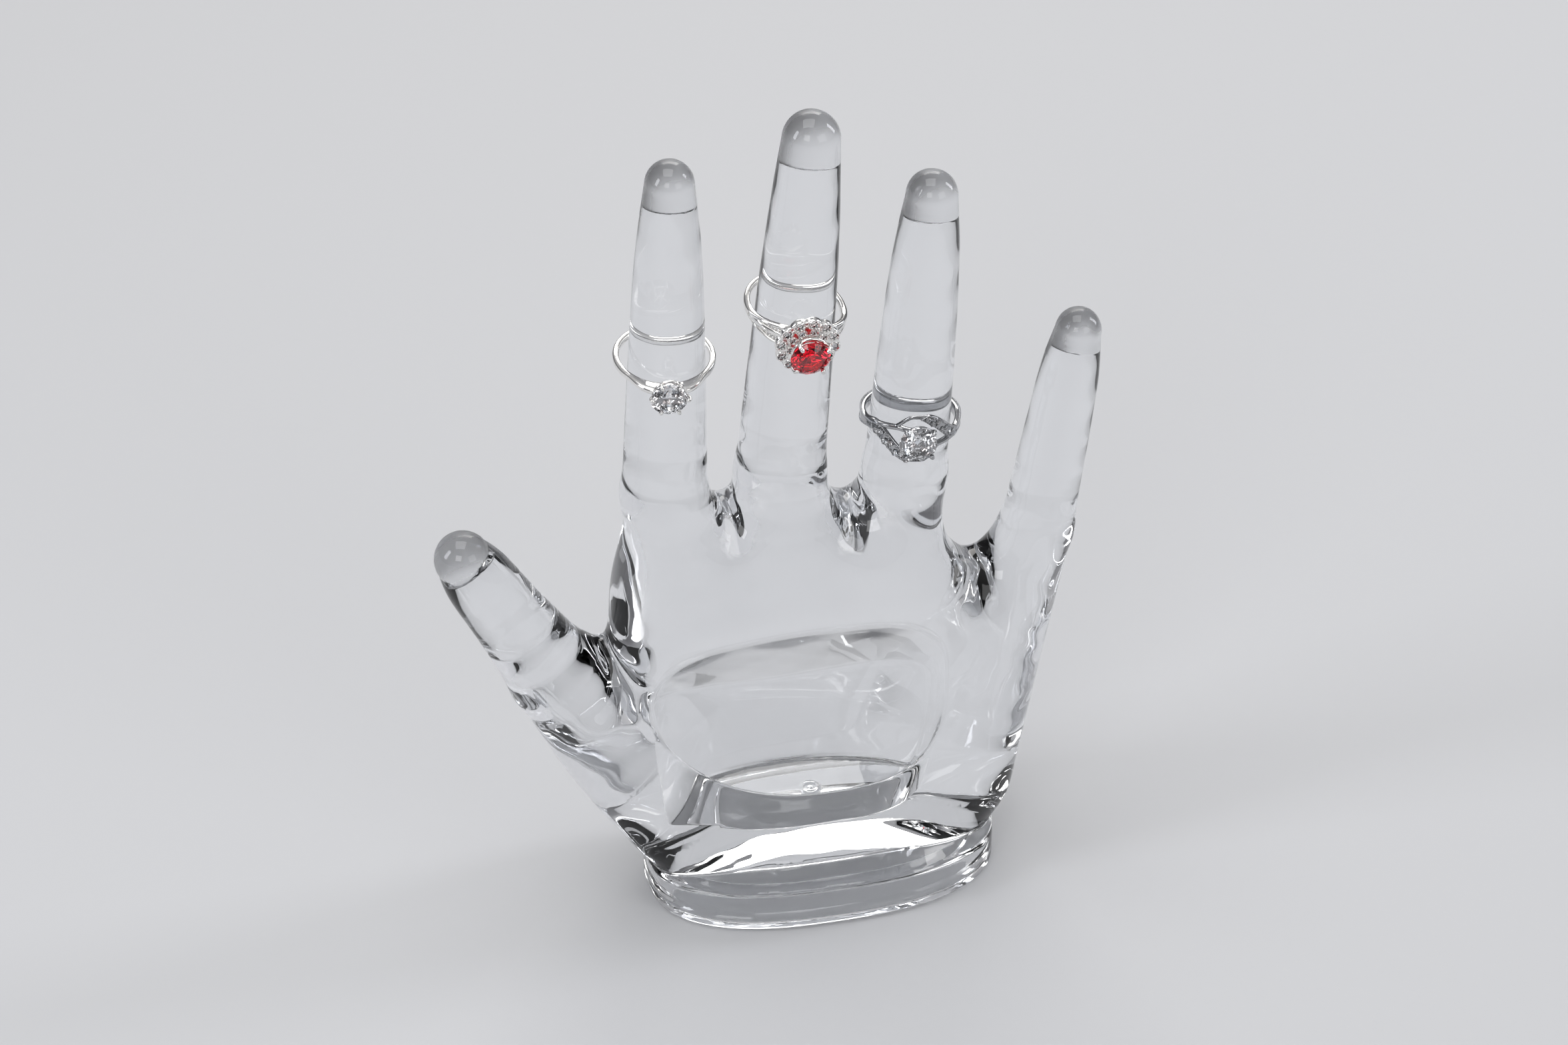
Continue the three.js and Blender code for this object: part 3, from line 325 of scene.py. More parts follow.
def hand_distance(p):
    z = p[:, 2]
    digits = [digit.distance(p) for digit in FINGERS.values()]
    whole = digits[0]
    for digit in digits[1:]:
        whole = smooth_min(whole, digit, WEB_BLEND)
    whole = smooth_min(whole, palm_distance(p), PALM_BLEND)
    flare = plinth_oval(p, WRIST_INSET) - WRIST_FLARE * np.maximum(z - PLINTH_HEIGHT, 0)
    whole = smooth_max(whole, flare, WRIST_BLEND)
    middle = PLINTH_HEIGHT / 2
    whole = np.maximum(whole, middle - z)
    plinth = smooth_max(plinth_oval(p, 0), np.abs(z - middle) - middle, 2 * PLINTH_EDGE)
    whole = smooth_min(whole, plinth, SEAM_ROUND)
    rim = LIP_ROUND + (RIM_ROUND - LIP_ROUND) * smooth_step(z, RIM_FROM, RIM_TO)
    whole = smooth_max(whole, -pocket_distance(p), rim)
    recess = np.maximum(plinth_oval(p, RECESS_WALL), z - RECESS_DEPTH)
    whole = smooth_max(whole, -recess, RECESS_ROUND)
    for digit in FINGERS.values():
        aside = np.abs(p[:, 0] - digit.at[0] - digit.axis[0] * digit.length)
        near = (z > digit.at[2]) & (aside < digit.length / 2)
        whole[near] = smooth_max(whole[near], -digit.nail(p[near]), NAIL_EDGE)
    return whole


def flow_waves(p):
    """Slow waves left in the surface where the moulding shrank as it set, from crossed plane waves."""
    x, y, z = p.T
    out = np.zeros(len(p))
    for n, length in enumerate(WAVE_LENGTHS):
        k = 2 * math.pi / length
        first, second, third, fourth = (k * (wx * x + wy * y + wz * z) + phase * n
                                        for wx, wy, wz, phase in WAVES)
        out += np.sin(first) * np.sin(second)
        out += np.sin(third) * np.cos(fourth)
    return out / len(WAVE_LENGTHS)


def gate_mark(p):
    """A low ring about a dot on the pocket's floor, where the moulding was filled."""
    out = np.hypot(p[:, 0] - GATE_X, p[:, 1] - GATE_Y)
    near = 1 - smooth_step(np.abs(p[:, 2] - POCKET_FLOOR), *GATE_FADE)
    ring = np.exp(-((out - GATE_RADIUS) / GATE_EDGE) ** 2)
    dot = np.exp(-(out / GATE_EDGE) ** 2)
    return GATE_HEIGHT * near * (ring + dot)


def clear_distance(p):
    """The hand with its gate mark, and with waves that fade out at the flat foot and in the pocket."""
    share = smooth_step(p[:, 2], 0, WAVE_FADE) * smooth_step(pocket_distance(p), 0, POCKET_FADE)
    return hand_distance(p) + WAVE * (1 + flow_waves(p)) * share - gate_mark(p)


def fitted(p):
    """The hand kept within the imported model's box, whose facets cut the outermost tips."""
    out = p * np.array(HAND_FIT)
    out[:, 0] -= np.sign(out[:, 0]) * TIP_SQUEEZE * np.maximum(np.abs(out[:, 0]) - TIP_FROM, 0)
    return out


def frost_at(p):
    """1 on the matt nail at the back of each tip, and 0 on the clear rest."""
    out = np.zeros(len(p))
    for digit in FINGERS.values():
        local = (p - digit.at) @ np.array(digit.turn)
        near = (np.abs(local[:, 0]) < digit.widths[2]) & (local[:, 2] > END_JOINT * digit.length)
        outline, _ = digit.nail_plan(p)
        matt = (1 - smooth_step(outline, *FROST_EDGE)) * smooth_step(local[:, 1], FROST_FROM, FROST_TO)
        out = np.maximum(out, near * matt)
    return out


# Skins over distance fields
def in_parts(function, points):
    return np.concatenate([function(points[i:i + PART_SIZE]) for i in range(0, len(points), PART_SIZE)])


def slope(distance, points, step):
    """Gradient of a field at points."""
    out = np.zeros_like(points)
    for axis in range(3):
        move = np.zeros(3)
        move[axis] = step
        out[:, axis] = (in_parts(distance, points + move) - in_parts(distance, points - move)) / (2 * step)
    return out


def settle(distance, points, limit):
    """Points moved onto the surface of a field, and their outward normals."""
    for _ in range(SETTLE_ROUNDS):
        gradient = slope(distance, points, limit / SLOPE_STEPS)
        square = np.maximum((gradient ** 2).sum(1), LEAST_SQUARE)
        shift = -(in_parts(distance, points) / square)[:, None] * gradient
        length = np.linalg.norm(shift, axis=1, keepdims=True)
        points = points + shift * np.minimum(1, limit / np.maximum(length, LEAST_LENGTH))
    gradient = slope(distance, points, limit / SLOPE_STEPS)
    return points, gradient / np.maximum(np.linalg.norm(gradient, axis=1, keepdims=True), LEAST_LENGTH)


def grid_values(distance, low, high, cell):
    """A field on a grid: at each point in blocks near its surface, and one value a block elsewhere."""
    count = np.ceil((high - low) / (cell * BLOCK)).astype(int) * BLOCK + 1
    blocks = (count - 1) // BLOCK
    middles = [low[a] + (np.arange(blocks[a]) + 0.5) * BLOCK * cell for a in range(3)]
    centres = np.stack(np.meshgrid(*middles, indexing="ij"), -1).reshape(-1, 3)
    values = reach = in_parts(distance, centres).reshape(blocks)
    for axis in range(3):
        values = np.repeat(values, BLOCK, axis)
    values = np.pad(values, ((0, 1), (0, 1), (0, 1)), mode="edge")
    fine = np.zeros(count, bool)
    for block in np.argwhere(np.abs(reach) < BLOCK * cell * BLOCK_REACH):
        fine[tuple(slice(n * BLOCK, n * BLOCK + BLOCK + 1) for n in block)] = True
    values[fine] = in_parts(distance, low + np.argwhere(fine) * cell)
    return values


def field_skin(distance, low, high, cell):
    """Triangles over a field's surface: one point in each cell that it crosses, moved onto the surface."""
    values = grid_values(distance, low, high, cell)
    inside = values < 0
    corners = [(a, b, c) for a in (0, 1) for b in (0, 1) for c in (0, 1)]
    cells = np.array(values.shape) - 1
    parts = [inside[a:a + cells[0], b:b + cells[1], c:c + cells[2]] for a, b, c in corners]
    total = sum(part.astype(np.int8) for part in parts)
    mixed = (total > 0) & (total < len(corners))
    number = np.full(cells, -1)
    at = np.argwhere(mixed)
    number[mixed] = np.arange(len(at))
    sums, crossings = np.zeros((len(at), 3)), np.zeros(len(at))
    for a in corners:
        for axis in range(3):
            if a[axis]:
                continue
            b = list(a)
            b[axis] = 1
            va, vb = values[tuple((at + a).T)], values[tuple((at + b).T)]
            hit = (va < 0) != (vb < 0)
            share = np.where(hit, va / np.where(hit, va - vb, 1), 0)
            place = at + np.array(a, float)
            place[:, axis] += share
            sums[hit] += place[hit]
            crossings += hit
    points = low + cell * sums / crossings[:, None]

    quads = []
    for axis, (u, v) in enumerate(((1, 2), (2, 0), (0, 1))):
        here = np.argwhere(np.diff(inside.astype(np.int8), axis=axis) != 0)
        here = here[(here[:, u] > 0) & (here[:, v] > 0) & (here[:, u] < cells[u]) & (here[:, v] < cells[v])]
        ring = []
        for du, dv in ((-1, -1), (0, -1), (0, 0), (-1, 0)):
            step = here.copy()
            step[:, u] += du
            step[:, v] += dv
            ring.append(number[tuple(step.T)])
        ring = np.stack(ring, 1)
        leaving = inside[tuple(here.T)]
        ring[~leaving] = ring[~leaving][:, ::-1]
        quads.append(ring)
    quads = np.concatenate(quads)
    points, normals = settle(distance, points, cell)
    first = np.linalg.norm(points[quads[:, 0]] - points[quads[:, 2]], axis=1)
    second = np.linalg.norm(points[quads[:, 1]] - points[quads[:, 3]], axis=1)
    short = (first < second)[:, None]
    one = np.where(short, quads[:, [0, 1, 2]], quads[:, [1, 2, 3]])
    two = np.where(short, quads[:, [0, 2, 3]], quads[:, [1, 3, 0]])
    return points, normals, np.concatenate([one, two])


def refine(distance, points, normals, faces, turn, finest):
    """Splits the edges along which the surface turns sharply, and settles the new points."""
    edges = np.sort(np.concatenate([faces[:, [0, 1]], faces[:, [1, 2]], faces[:, [2, 0]]]), 1)
    unique, inverse = np.unique(edges, axis=0, return_inverse=True)
    inverse = inverse.reshape(3, -1).T
    a, b = unique.T
    sharp = (normals[a] * normals[b]).sum(1) < math.cos(math.radians(turn))
    sharp &= np.linalg.norm(points[a] - points[b], axis=1) > finest
    middle = np.full(len(unique), -1)
    middle[sharp] = len(points) + np.arange(sharp.sum())
    fresh, fresh_normals = settle(distance, (points[a] + points[b])[sharp] / 2, finest)
    points, normals = np.concatenate([points, fresh]), np.concatenate([normals, fresh_normals])
    marks = middle[inverse]
    split = (marks >= 0).sum(1)
    out = [faces[split == 0]]
    for count in (1, 2, 3):
        chosen = split == count
        f, m = faces[chosen], marks[chosen]
        if count < 3:
            lone = np.argmax(m >= 0, 1) if count == 1 else np.argmin(m >= 0, 1)
            roll = (lone[:, None] + np.arange(3)) % 3
            f, m = np.take_along_axis(f, roll, 1), np.take_along_axis(m, roll, 1)
        v0, v1, v2 = f.T
        m0, m1, m2 = m.T
        if count == 1:
            out += [np.stack(t, 1) for t in ((v0, m0, v2), (m0, v1, v2))]
        elif count == 2:
            out += [np.stack(t, 1) for t in ((v0, v1, m1), (v0, m1, m2), (m1, v2, m2))]
        else:
            out += [np.stack(t, 1) for t in ((v0, m0, m2), (m0, v1, m1), (m2, m1, v2), (m0, m1, m2))]
    return points, normals, np.concatenate(out)


def new_mesh(name, points, faces, material, normals):
    """A smooth object from arrays of points in millimetres, triangles and normals."""
    mesh = bpy.data.meshes.new(name)
    mesh.from_pydata((np.asarray(points) * MM).tolist(), [], np.asarray(faces).tolist())
    mesh.polygons.foreach_set("use_smooth", [True] * len(mesh.polygons))
    mesh.normals_split_custom_set_from_vertices(normals.tolist())
    mesh.materials.append(material)
    obj = bpy.data.objects.new(name, mesh)
    bpy.context.scene.collection.objects.link(obj)
    return obj


# Materials: a noise is its scale per metre and its detail, and bump heights are in metres
NOISE_LOW, NOISE_HIGH = 0.3, 0.7
ACRYLIC_COLOUR = (0.965, 0.975, 0.99)
ACRYLIC_INDEX = 1.49
FLOW_NOISE = (38, 2)
FLOW_STRENGTH = 0.05
FLOW_HEIGHT = 0.002
WEAR_NOISE = (260, 4)
WEAR = (0.0, 0.03)
NAIL_MATT = 0.42
CLOUD_NOISE = (900, 3)
CLOUD_STOPS = (0.3, 0.65)
POLISH_NOISE = (3200, 4)
POLISH_STRENGTH = 0.04
POLISH_HEIGHT = 0.0001
# Gem colour spots, each as small as a facet: painted fire and painted lit and shaded facets
FIRE_FLASH_SCALE = 900
FIRE_FLASH_STOPS = (0, 0.75, 0.88)
HAZE_NOISE = (700, 2)
HAZE = (0.0, 0.02)


def new_material(name):
    material = bpy.data.materials.new(name)
    material.use_nodes = True
    nodes = material.node_tree.nodes
    return material, nodes, material.node_tree.links, nodes["Principled BSDF"]


def noise(nodes, links, scale, detail):
    place = nodes.new("ShaderNodeTexCoord")
    grain = nodes.new("ShaderNodeTexNoise")
    grain.inputs["Scale"].default_value = scale
    grain.inputs["Detail"].default_value = detail
    links.new(place.outputs["Object"], grain.inputs["Vector"])
    return grain.outputs["Fac"]


def spread(nodes, links, source, low, high):
    """A noise's usual range spread over another range."""
    ramp = nodes.new("ShaderNodeMapRange")
    ramp.inputs["From Min"].default_value = NOISE_LOW
    ramp.inputs["From Max"].default_value = NOISE_HIGH
    ramp.inputs["To Min"].default_value = low
    ramp.inputs["To Max"].default_value = high
    links.new(source, ramp.inputs["Value"])
    return ramp.outputs["Result"]


def bump(nodes, links, shader, height, strength, distance):
    lift = nodes.new("ShaderNodeBump")
    lift.inputs["Strength"].default_value = strength
    lift.inputs["Distance"].default_value = distance
    links.new(height, lift.inputs["Height"])
    links.new(lift.outputs["Normal"], shader.inputs["Normal"])


def colour_stops(nodes, places, colours):
    """A colour ramp with its own stops."""
    ramp = nodes.new("ShaderNodeValToRGB")
    stops = ramp.color_ramp.elements
    while len(stops) < len(places):
        stops.new(1)
    for stop, place, colour in zip(stops, places, colours):
        stop.position = place
        stop.color = (*colour, 1)
    return ramp


def acrylic_material():
    """Clear plastic with a slight flow in its surface, matt where the mesh says so."""
    material, nodes, links, shader = new_material("clear_acrylic")
    shader.inputs["Base Color"].default_value = (*ACRYLIC_COLOUR, 1)
    shader.inputs["Transmission Weight"].default_value = 1
    shader.inputs["IOR"].default_value = ACRYLIC_INDEX
    flow = noise(nodes, links, *FLOW_NOISE)
    bump(nodes, links, shader, flow, FLOW_STRENGTH, FLOW_HEIGHT)
    wear = noise(nodes, links, *WEAR_NOISE)
    frost = nodes.new("ShaderNodeAttribute")
    frost.attribute_name = "frost"
    matt = nodes.new("ShaderNodeMath")
    matt.operation = "MULTIPLY_ADD"
    matt.inputs[1].default_value = NAIL_MATT
    links.new(frost.outputs["Fac"], matt.inputs[0])
    links.new(spread(nodes, links, wear, *WEAR), matt.inputs[2])
    links.new(matt.outputs["Value"], shader.inputs["Roughness"])
    return material


def metal_material(name, colour, darker, roughness):
    """Polished metal with faint clouds in its colour and its polish."""
    material, nodes, links, shader = new_material(name)
    shader.inputs["Metallic"].default_value = 1
    ramp = colour_stops(nodes, CLOUD_STOPS, (darker, colour))
    links.new(noise(nodes, links, *CLOUD_NOISE), ramp.inputs["Fac"])
    links.new(ramp.outputs["Color"], shader.inputs["Base Color"])
    polish = noise(nodes, links, *POLISH_NOISE)
    links.new(spread(nodes, links, polish, *roughness), shader.inputs["Roughness"])
    bump(nodes, links, shader, polish, POLISH_STRENGTH, POLISH_HEIGHT)
    return material


def gem_material(name, colours, index):
    """A faceted stone: its colours lie in spots as small as its facets, painted fire and painted lit and
    shaded facets.
    """
    material, nodes, links, shader = new_material(name)
    # Voronoi spots in the base colour: painted flashes of fire, light and shade
    painted_flashes = nodes.new("ShaderNodeTexVoronoi")
    painted_flashes.inputs["Scale"].default_value = FIRE_FLASH_SCALE
    links.new(nodes.new("ShaderNodeTexCoord").outputs["Object"], painted_flashes.inputs["Vector"])
    pick = nodes.new("ShaderNodeSeparateColor")
    links.new(painted_flashes.outputs["Color"], pick.inputs["Color"])
    ramp = colour_stops(nodes, FIRE_FLASH_STOPS, colours)
    ramp.color_ramp.interpolation = "CONSTANT"
    links.new(pick.outputs["Red"], ramp.inputs["Fac"])
    links.new(ramp.outputs["Color"], shader.inputs["Base Color"])
    shader.inputs["Transmission Weight"].default_value = 1
    shader.inputs["IOR"].default_value = index
    haze = noise(nodes, links, *HAZE_NOISE)
    links.new(spread(nodes, links, haze, *HAZE), shader.inputs["Roughness"])
    return material


ACRYLIC = acrylic_material()
WHITE_METAL = metal_material("white_metal", colour=(0.93, 0.92, 0.9), darker=(0.86, 0.85, 0.83),
                             roughness=(0.05, 0.16))
DARK_METAL = metal_material("dark_metal", colour=(0.46, 0.465, 0.475), darker=(0.38, 0.385, 0.395),
                            roughness=(0.04, 0.12))
# Clear stones: near-white with bluish and warm spots, painted flashes of fire
CLEAR_GEM = gem_material("clear_gem", index=2.2,
                         colours=((0.98, 0.985, 1.0), (0.84, 0.91, 1.0), (1.0, 0.87, 0.84)))
# Red stone: red with lighter and darker red spots, painted highlights and painted shade on its facets
RED_GEM = gem_material("red_gem", index=1.77,
                       colours=((0.9, 0.012, 0.03), (0.95, 0.04, 0.05), (0.8, 0.006, 0.03)))

# Hand
lowest = np.array([low / MM - GRID_MARGIN for low in cad_box[0]])
highest = np.array([high / MM + GRID_MARGIN for high in cad_box[1]])
skin = field_skin(clear_distance, lowest, highest, GRID)
for _ in range(REFINE_ROUNDS):
    skin = refine(clear_distance, *skin, TURN_LIMIT, FINEST_EDGE)
points, normals, faces = skin
hand = new_mesh("hand_clear", fitted(points), faces, ACRYLIC, normals)
hand.data.attributes.new("frost", "FLOAT", "POINT").data.foreach_set("value", frost_at(points))
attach(hand, "hand")
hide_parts("hand_moulding")

# Rings, in millimetres and degrees about the finger's axis: +Z up the finger, the stone towards -Y
RING_FIT = 0.3
SETTING_GAP = 0.12
SOLITAIRE = dict(digit="index", height=132.4, slip=-0.5, nod=6, roll=0, turn=-6)
CLUSTER = dict(digit="middle", height=140.2, slip=0, nod=10, roll=5, turn=0)
BYPASS = dict(digit="ring", height=111.6, slip=0, nod=-2.5, roll=0, turn=-6)
SEAT_ROWS = 97
SEAT_TURNS = 48
GEM_TABLE = 0.56
GEM_CROWN = 0.34
GEM_GIRDLE = 0.03
GEM_CULET = 0.86
FOOT_SHARE = 0.27

# Claws, as shares of the claw's thickness
CLAW_OUT = 0.3
CLAW_BOW = 0.2
CLAW_CROOK = 0.7
CLAW_OVER = 0.9
CLAW_TAPER = 0.12
CLAW_HOOP = 0.42
CLAW_TIP = 0.46
CLAW_TIP_BLEND = 0.15
CLAW_HOOP_BLEND = 0.3
CLAW_STEPS = 17
SEAT_EDGE = 0.05

# Skins of the metal pieces; a margin is the space searched beside, below and above a piece
BAND_CELL = 0.17
HEAD_CELL = 0.12
CAST_TURN = 25
EDGES_A_CELL = 3
FAR = 1e3
HEAD_TURN = Matrix.Rotation(math.pi / 2, 4, "X")


def ease(angle, span):
    return 1 - smooth_step(np.abs(angle), *span)


def about_finger(p):
    """Degrees from the front, distance from the finger's axis, and height."""
    return np.degrees(np.arctan2(p[:, 0], -p[:, 1])), np.hypot(p[:, 0], p[:, 1]), p[:, 2]


def round_finger(angle, reach, height):
    """Places at degrees from the front, a distance from the finger's axis and a height."""
    turn = np.radians(angle)
    return np.stack([reach * np.sin(turn), -reach * np.cos(turn), height], -1)


def arc(degrees, reach):
    return degrees * math.pi / 180 * reach


def section_distance(out, up, thick, wide, power):
    return oval_distance(out, up, thick / 2, wide / 2, power)


def ball(p, centre, radius):
    return np.linalg.norm(p - np.asarray(centre), axis=1) - radius


def folded(p, count, shift=0):
    """Points turned about Z into the sector of the nearest of count equal spokes."""
    step = 2 * math.pi / count
    angle = np.arctan2(p[:, 1], p[:, 0])
    turn = (np.round(angle / step - shift) + shift) * step
    c, s = np.cos(turn), np.sin(turn)
    return np.stack([p[:, 0] * c + p[:, 1] * s, p[:, 1] * c - p[:, 0] * s, p[:, 2]], 1)


def tube(p, path, radii):
    """A round bar through points, with a radius at each."""
    best = np.full(len(p), FAR)
    for a, b, ra, rb in zip(path[:-1], path[1:], radii[:-1], radii[1:]):
        way = b - a
        share = np.clip((p - a) @ way / (way @ way), 0, 1)
        off = np.linalg.norm(p - a - share[:, None] * way, axis=1)
        best = np.minimum(best, off - (ra + (rb - ra) * share))
    return best


def stone_distance(p, diameter):
    """A round stone about Z with its girdle at z = 0."""
    radius = diameter / 2
    out, up = np.hypot(p[:, 0], p[:, 1]), p[:, 2]
    crown = math.atan2(GEM_CROWN - GEM_GIRDLE, 1 - GEM_TABLE)
    lower = math.atan2(GEM_CULET - GEM_GIRDLE, 1)
    above = (out - radius) * math.sin(crown) + (up - GEM_GIRDLE * radius) * math.cos(crown)
    below = (out - radius) * math.sin(lower) - (up + GEM_GIRDLE * radius) * math.cos(lower)
    return np.maximum(np.maximum(out - radius, np.abs(up) - radius), np.maximum(above, below))


def rotation(degrees, axis):
    return Matrix.Rotation(math.radians(degrees), 4, axis)


def seat_of(ring, reach_at):
    """The ring's bore, as wide as the finger is where the band lies, and its place."""
    digit = FINGERS[ring["digit"]]
    along = (ring["height"] - digit.at[2]) / digit.cosine
    hang = rotation(ring["nod"], "X") @ rotation(ring["roll"], "Y") @ rotation(ring["turn"], "Z")
    rows = np.linspace(-1, 1, SEAT_ROWS) * digit.widths[1] / 2
    rise, turn = np.meshgrid(rows, np.arange(SEAT_TURNS) * 2 * math.pi / SEAT_TURNS)
    rise, turn = rise.ravel(), turn.ravel()
    radius = digit.radius(along + rise)
    p = np.stack([radius * np.cos(turn) - ring["slip"], radius * digit.depth * np.sin(turn), rise], 1)
    angle, out, up = about_finger(p @ np.array(hang.to_3x3()))
    bore = out[np.abs(up) <= reach_at(angle)].max() + RING_FIT
    up_finger = Matrix.Translation((ring["slip"], 0, along))
    return bore, Matrix.Translation(digit.at) @ digit.turn.to_4x4() @ up_finger @ hang


def claw_distance(p, claws, claw, stone, girdle, foot, start, shift):
    """Claws with round tips from a small foot ring up and over the stone's girdle."""
    reach = stone / 2 + claw * CLAW_OUT
    waist_out, waist_z = (foot + reach) / 2 + claw * CLAW_BOW, (start + girdle) / 2
    knots = [(foot, 0, start + claw / 2), (waist_out, 0, waist_z), (reach, 0, girdle - claw * CLAW_BOW),
             (reach - claw * CLAW_BOW, 0, girdle + claw * CLAW_CROOK),
             (reach - claw * CLAW_CROOK, 0, girdle + claw * CLAW_OVER)]
    path = smooth_path(knots, CLAW_STEPS)
    radii = claw * (0.5 - CLAW_TAPER * np.linspace(0, 1, len(path)))
    spoke = folded(p, claws, shift)
    tip = ball(spoke, path[-2], claw * CLAW_TIP)
    whole = smooth_min(tube(spoke, path, radii), tip, claw * CLAW_TIP_BLEND)
    out, wire = np.hypot(p[:, 0], p[:, 1]), claw * CLAW_HOOP
    for radius, z in ((foot, start + wire), (waist_out, waist_z)):
        hoop = np.hypot(out - radius, p[:, 2] - z) - wire
        whole = smooth_min(whole, hoop, claw * CLAW_HOOP_BLEND)
    seat = stone_distance(p - np.array((0, 0, girdle)), stone + 2 * SETTING_GAP)
    return smooth_max(whole, -seat, SEAT_EDGE)


def cast(name, distance, reach, low, high, margin, cell, place, material, body, slot, *nodes):
    """A metal piece from a field about Z, with its reach, lowest and highest place, put in its place."""
    beside, below, above = margin
    half = reach + beside
    corners = np.array([(-half, -half, low - below), (half, half, high + above)], float)
    skin = field_skin(distance, *corners, cell)
    points, normals, faces = refine(distance, *skin, CAST_TURN, cell / EDGES_A_CELL)
    matrix = np.array(place)
    turn, shift = matrix[:3, :3].T, matrix[:3, 3]
    piece = new_mesh(name, points @ turn + shift, faces, material, normals @ turn)
    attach(piece, body)
    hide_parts(*nodes)


# Solitaire
SOLITAIRE_WIDTH = 1.4
SOLITAIRE_THICKNESS = 1.35
SOLITAIRE_RISE = 1.7
SOLITAIRE_SHOULDER = (16, 52)
SOLITAIRE_POWER = 3
BASKET_EDGE = 0.25
SOLITAIRE_STONE = 7.2
SOLITAIRE_LIFT = 3.3
SOLITAIRE_PRONGS = 6
SOLITAIRE_PRONG = 0.72
SOLITAIRE_BAND_MARGIN = (0.5, 1.5, 1.5)
SOLITAIRE_HEAD_MARGIN = (1, 0.3, 1.6)

solitaire_bore, solitaire_place = seat_of(SOLITAIRE, lambda angle: np.full(len(angle), SOLITAIRE_WIDTH / 2))
solitaire_top = solitaire_bore + SOLITAIRE_THICKNESS
solitaire_girdle = solitaire_top + SOLITAIRE_LIFT
solitaire_foot = SOLITAIRE_STONE * FOOT_SHARE


def solitaire_band(p):
    """A plain band whose shoulders rise beside the basket, which has its room between them."""
    angle, out, up = about_finger(p)
    thick = SOLITAIRE_THICKNESS + SOLITAIRE_RISE * ease(angle, SOLITAIRE_SHOULDER)
    across = out - solitaire_bore - thick / 2
    band = section_distance(across, up, thick, SOLITAIRE_WIDTH, SOLITAIRE_POWER)
    lean = (SOLITAIRE_STONE / 2 + SOLITAIRE_PRONG / 2 - solitaire_foot) / (solitaire_girdle - solitaire_top)
    wide = solitaire_foot + SOLITAIRE_PRONG / 2 + SETTING_GAP + lean * (-p[:, 1] - solitaire_top)
    cone = (np.hypot(p[:, 0], p[:, 2]) - wide) / math.hypot(1, lean)
    return smooth_max(band, -np.maximum(cone, solitaire_top + p[:, 1]), BASKET_EDGE)


def solitaire_head(p):
    return claw_distance(p, SOLITAIRE_PRONGS, SOLITAIRE_PRONG, SOLITAIRE_STONE, solitaire_girdle,
                         solitaire_foot, solitaire_top + SETTING_GAP, shift=0)


cast("solitaire_band_fine", solitaire_band, solitaire_top + SOLITAIRE_RISE, 0, 0, SOLITAIRE_BAND_MARGIN,
     BAND_CELL, solitaire_place, WHITE_METAL, "solitaire_ring", "white_metal", "solitaire_band")
cast("solitaire_head_fine", solitaire_head, SOLITAIRE_STONE / 2, solitaire_top, solitaire_girdle,
     SOLITAIRE_HEAD_MARGIN, HEAD_CELL, solitaire_place @ HEAD_TURN, WHITE_METAL,
     "solitaire_ring", "white_metal", "solitaire_head")

# Cluster ring
CLUSTER_WIDTH = 1.5
CLUSTER_THICKNESS = 1.3
CLUSTER_POWER = 2.6
CLUSTER_RAIL = 0.85
CLUSTER_RAIL_POWER = 2.2
CLUSTER_RAIL_BLEND = 0.18
CLUSTER_SPREAD = 2.2
CLUSTER_SPLIT = (12, 105)
CLUSTER_GRAINS = np.arange(15, 47, 4.4)  # degrees from the front
CLUSTER_GRAIN = dict(reach=0.72, fill=0.95, least=0.16, blend=0.06)
CLUSTER_HALO = 13.2
HALO_THICKNESS = 1.3
HALO_EDGE = 0.4
HALO_LOBES = 12
LOBE_DEPTH = 0.45
CLUSTER_EYE = 4.2
EYE_EDGE = 0.3
OUTER_STONE = 1.9
INNER_STONE = 1.35
INNER_COUNT = 9
CLUSTER_STONE = 8
CLUSTER_LIFT = 3.6
CLUSTER_CLAWS = 4
CLUSTER_CLAW = 0.95
COLLAR = dict(out=0.08, up=0.02, wire=0.15, blend=0.1)
HALO_BEAD = dict(out=0.02, up=0.16, radius=0.2, blend=0.06)
DIAGONAL = 0.707
STONE_EDGE = 0.03
CLUSTER_SHANK_MARGIN = (0.6, 3.4, 3.4)
HALO_MARGIN = (0.7, 0.5, 0.8)
CLUSTER_CLAWS_MARGIN = (1.2, 0.3, 2)


def cluster_spread(angle):
    return CLUSTER_SPREAD * ease(angle, CLUSTER_SPLIT)


cluster_bore, cluster_place = seat_of(
    CLUSTER, lambda angle: np.maximum(CLUSTER_WIDTH / 2, cluster_spread(angle) + CLUSTER_RAIL / 2))
plate_bottom = cluster_bore + CLUSTER_THICKNESS + SETTING_GAP
plate_top = plate_bottom + HALO_THICKNESS
cluster_girdle = plate_top + CLUSTER_LIFT


def cluster_shank(p):
    """A band between two rails that part towards the front, with grains in the gaps."""
    angle, out, up = about_finger(p)
    across = out - cluster_bore - CLUSTER_THICKNESS / 2
    whole = section_distance(across, up, CLUSTER_THICKNESS, CLUSTER_WIDTH, CLUSTER_POWER)
    off = np.abs(up) - cluster_spread(angle)
    rails = section_distance(across, off, CLUSTER_THICKNESS, CLUSTER_RAIL, CLUSTER_RAIL_POWER)
    whole = smooth_min(whole, rails, CLUSTER_RAIL_BLEND)
    mirrored = np.stack([np.abs(p[:, 0]), p[:, 1], np.abs(p[:, 2])], 1)
    reach = cluster_bore + CLUSTER_THICKNESS * CLUSTER_GRAIN["reach"]
    for degrees in CLUSTER_GRAINS:
        gap = float(cluster_spread(np.array([degrees]))[0]) - CLUSTER_RAIL / 2 - CLUSTER_WIDTH / 2
        turn, height = math.radians(degrees), CLUSTER_WIDTH / 2 + gap / 2
        centre = (reach * math.sin(turn), -reach * math.cos(turn), height)
        radius = max(gap / 2 * CLUSTER_GRAIN["fill"], CLUSTER_GRAIN["least"])
        whole = smooth_min(whole, ball(mirrored, centre, radius), CLUSTER_GRAIN["blend"])
    return whole


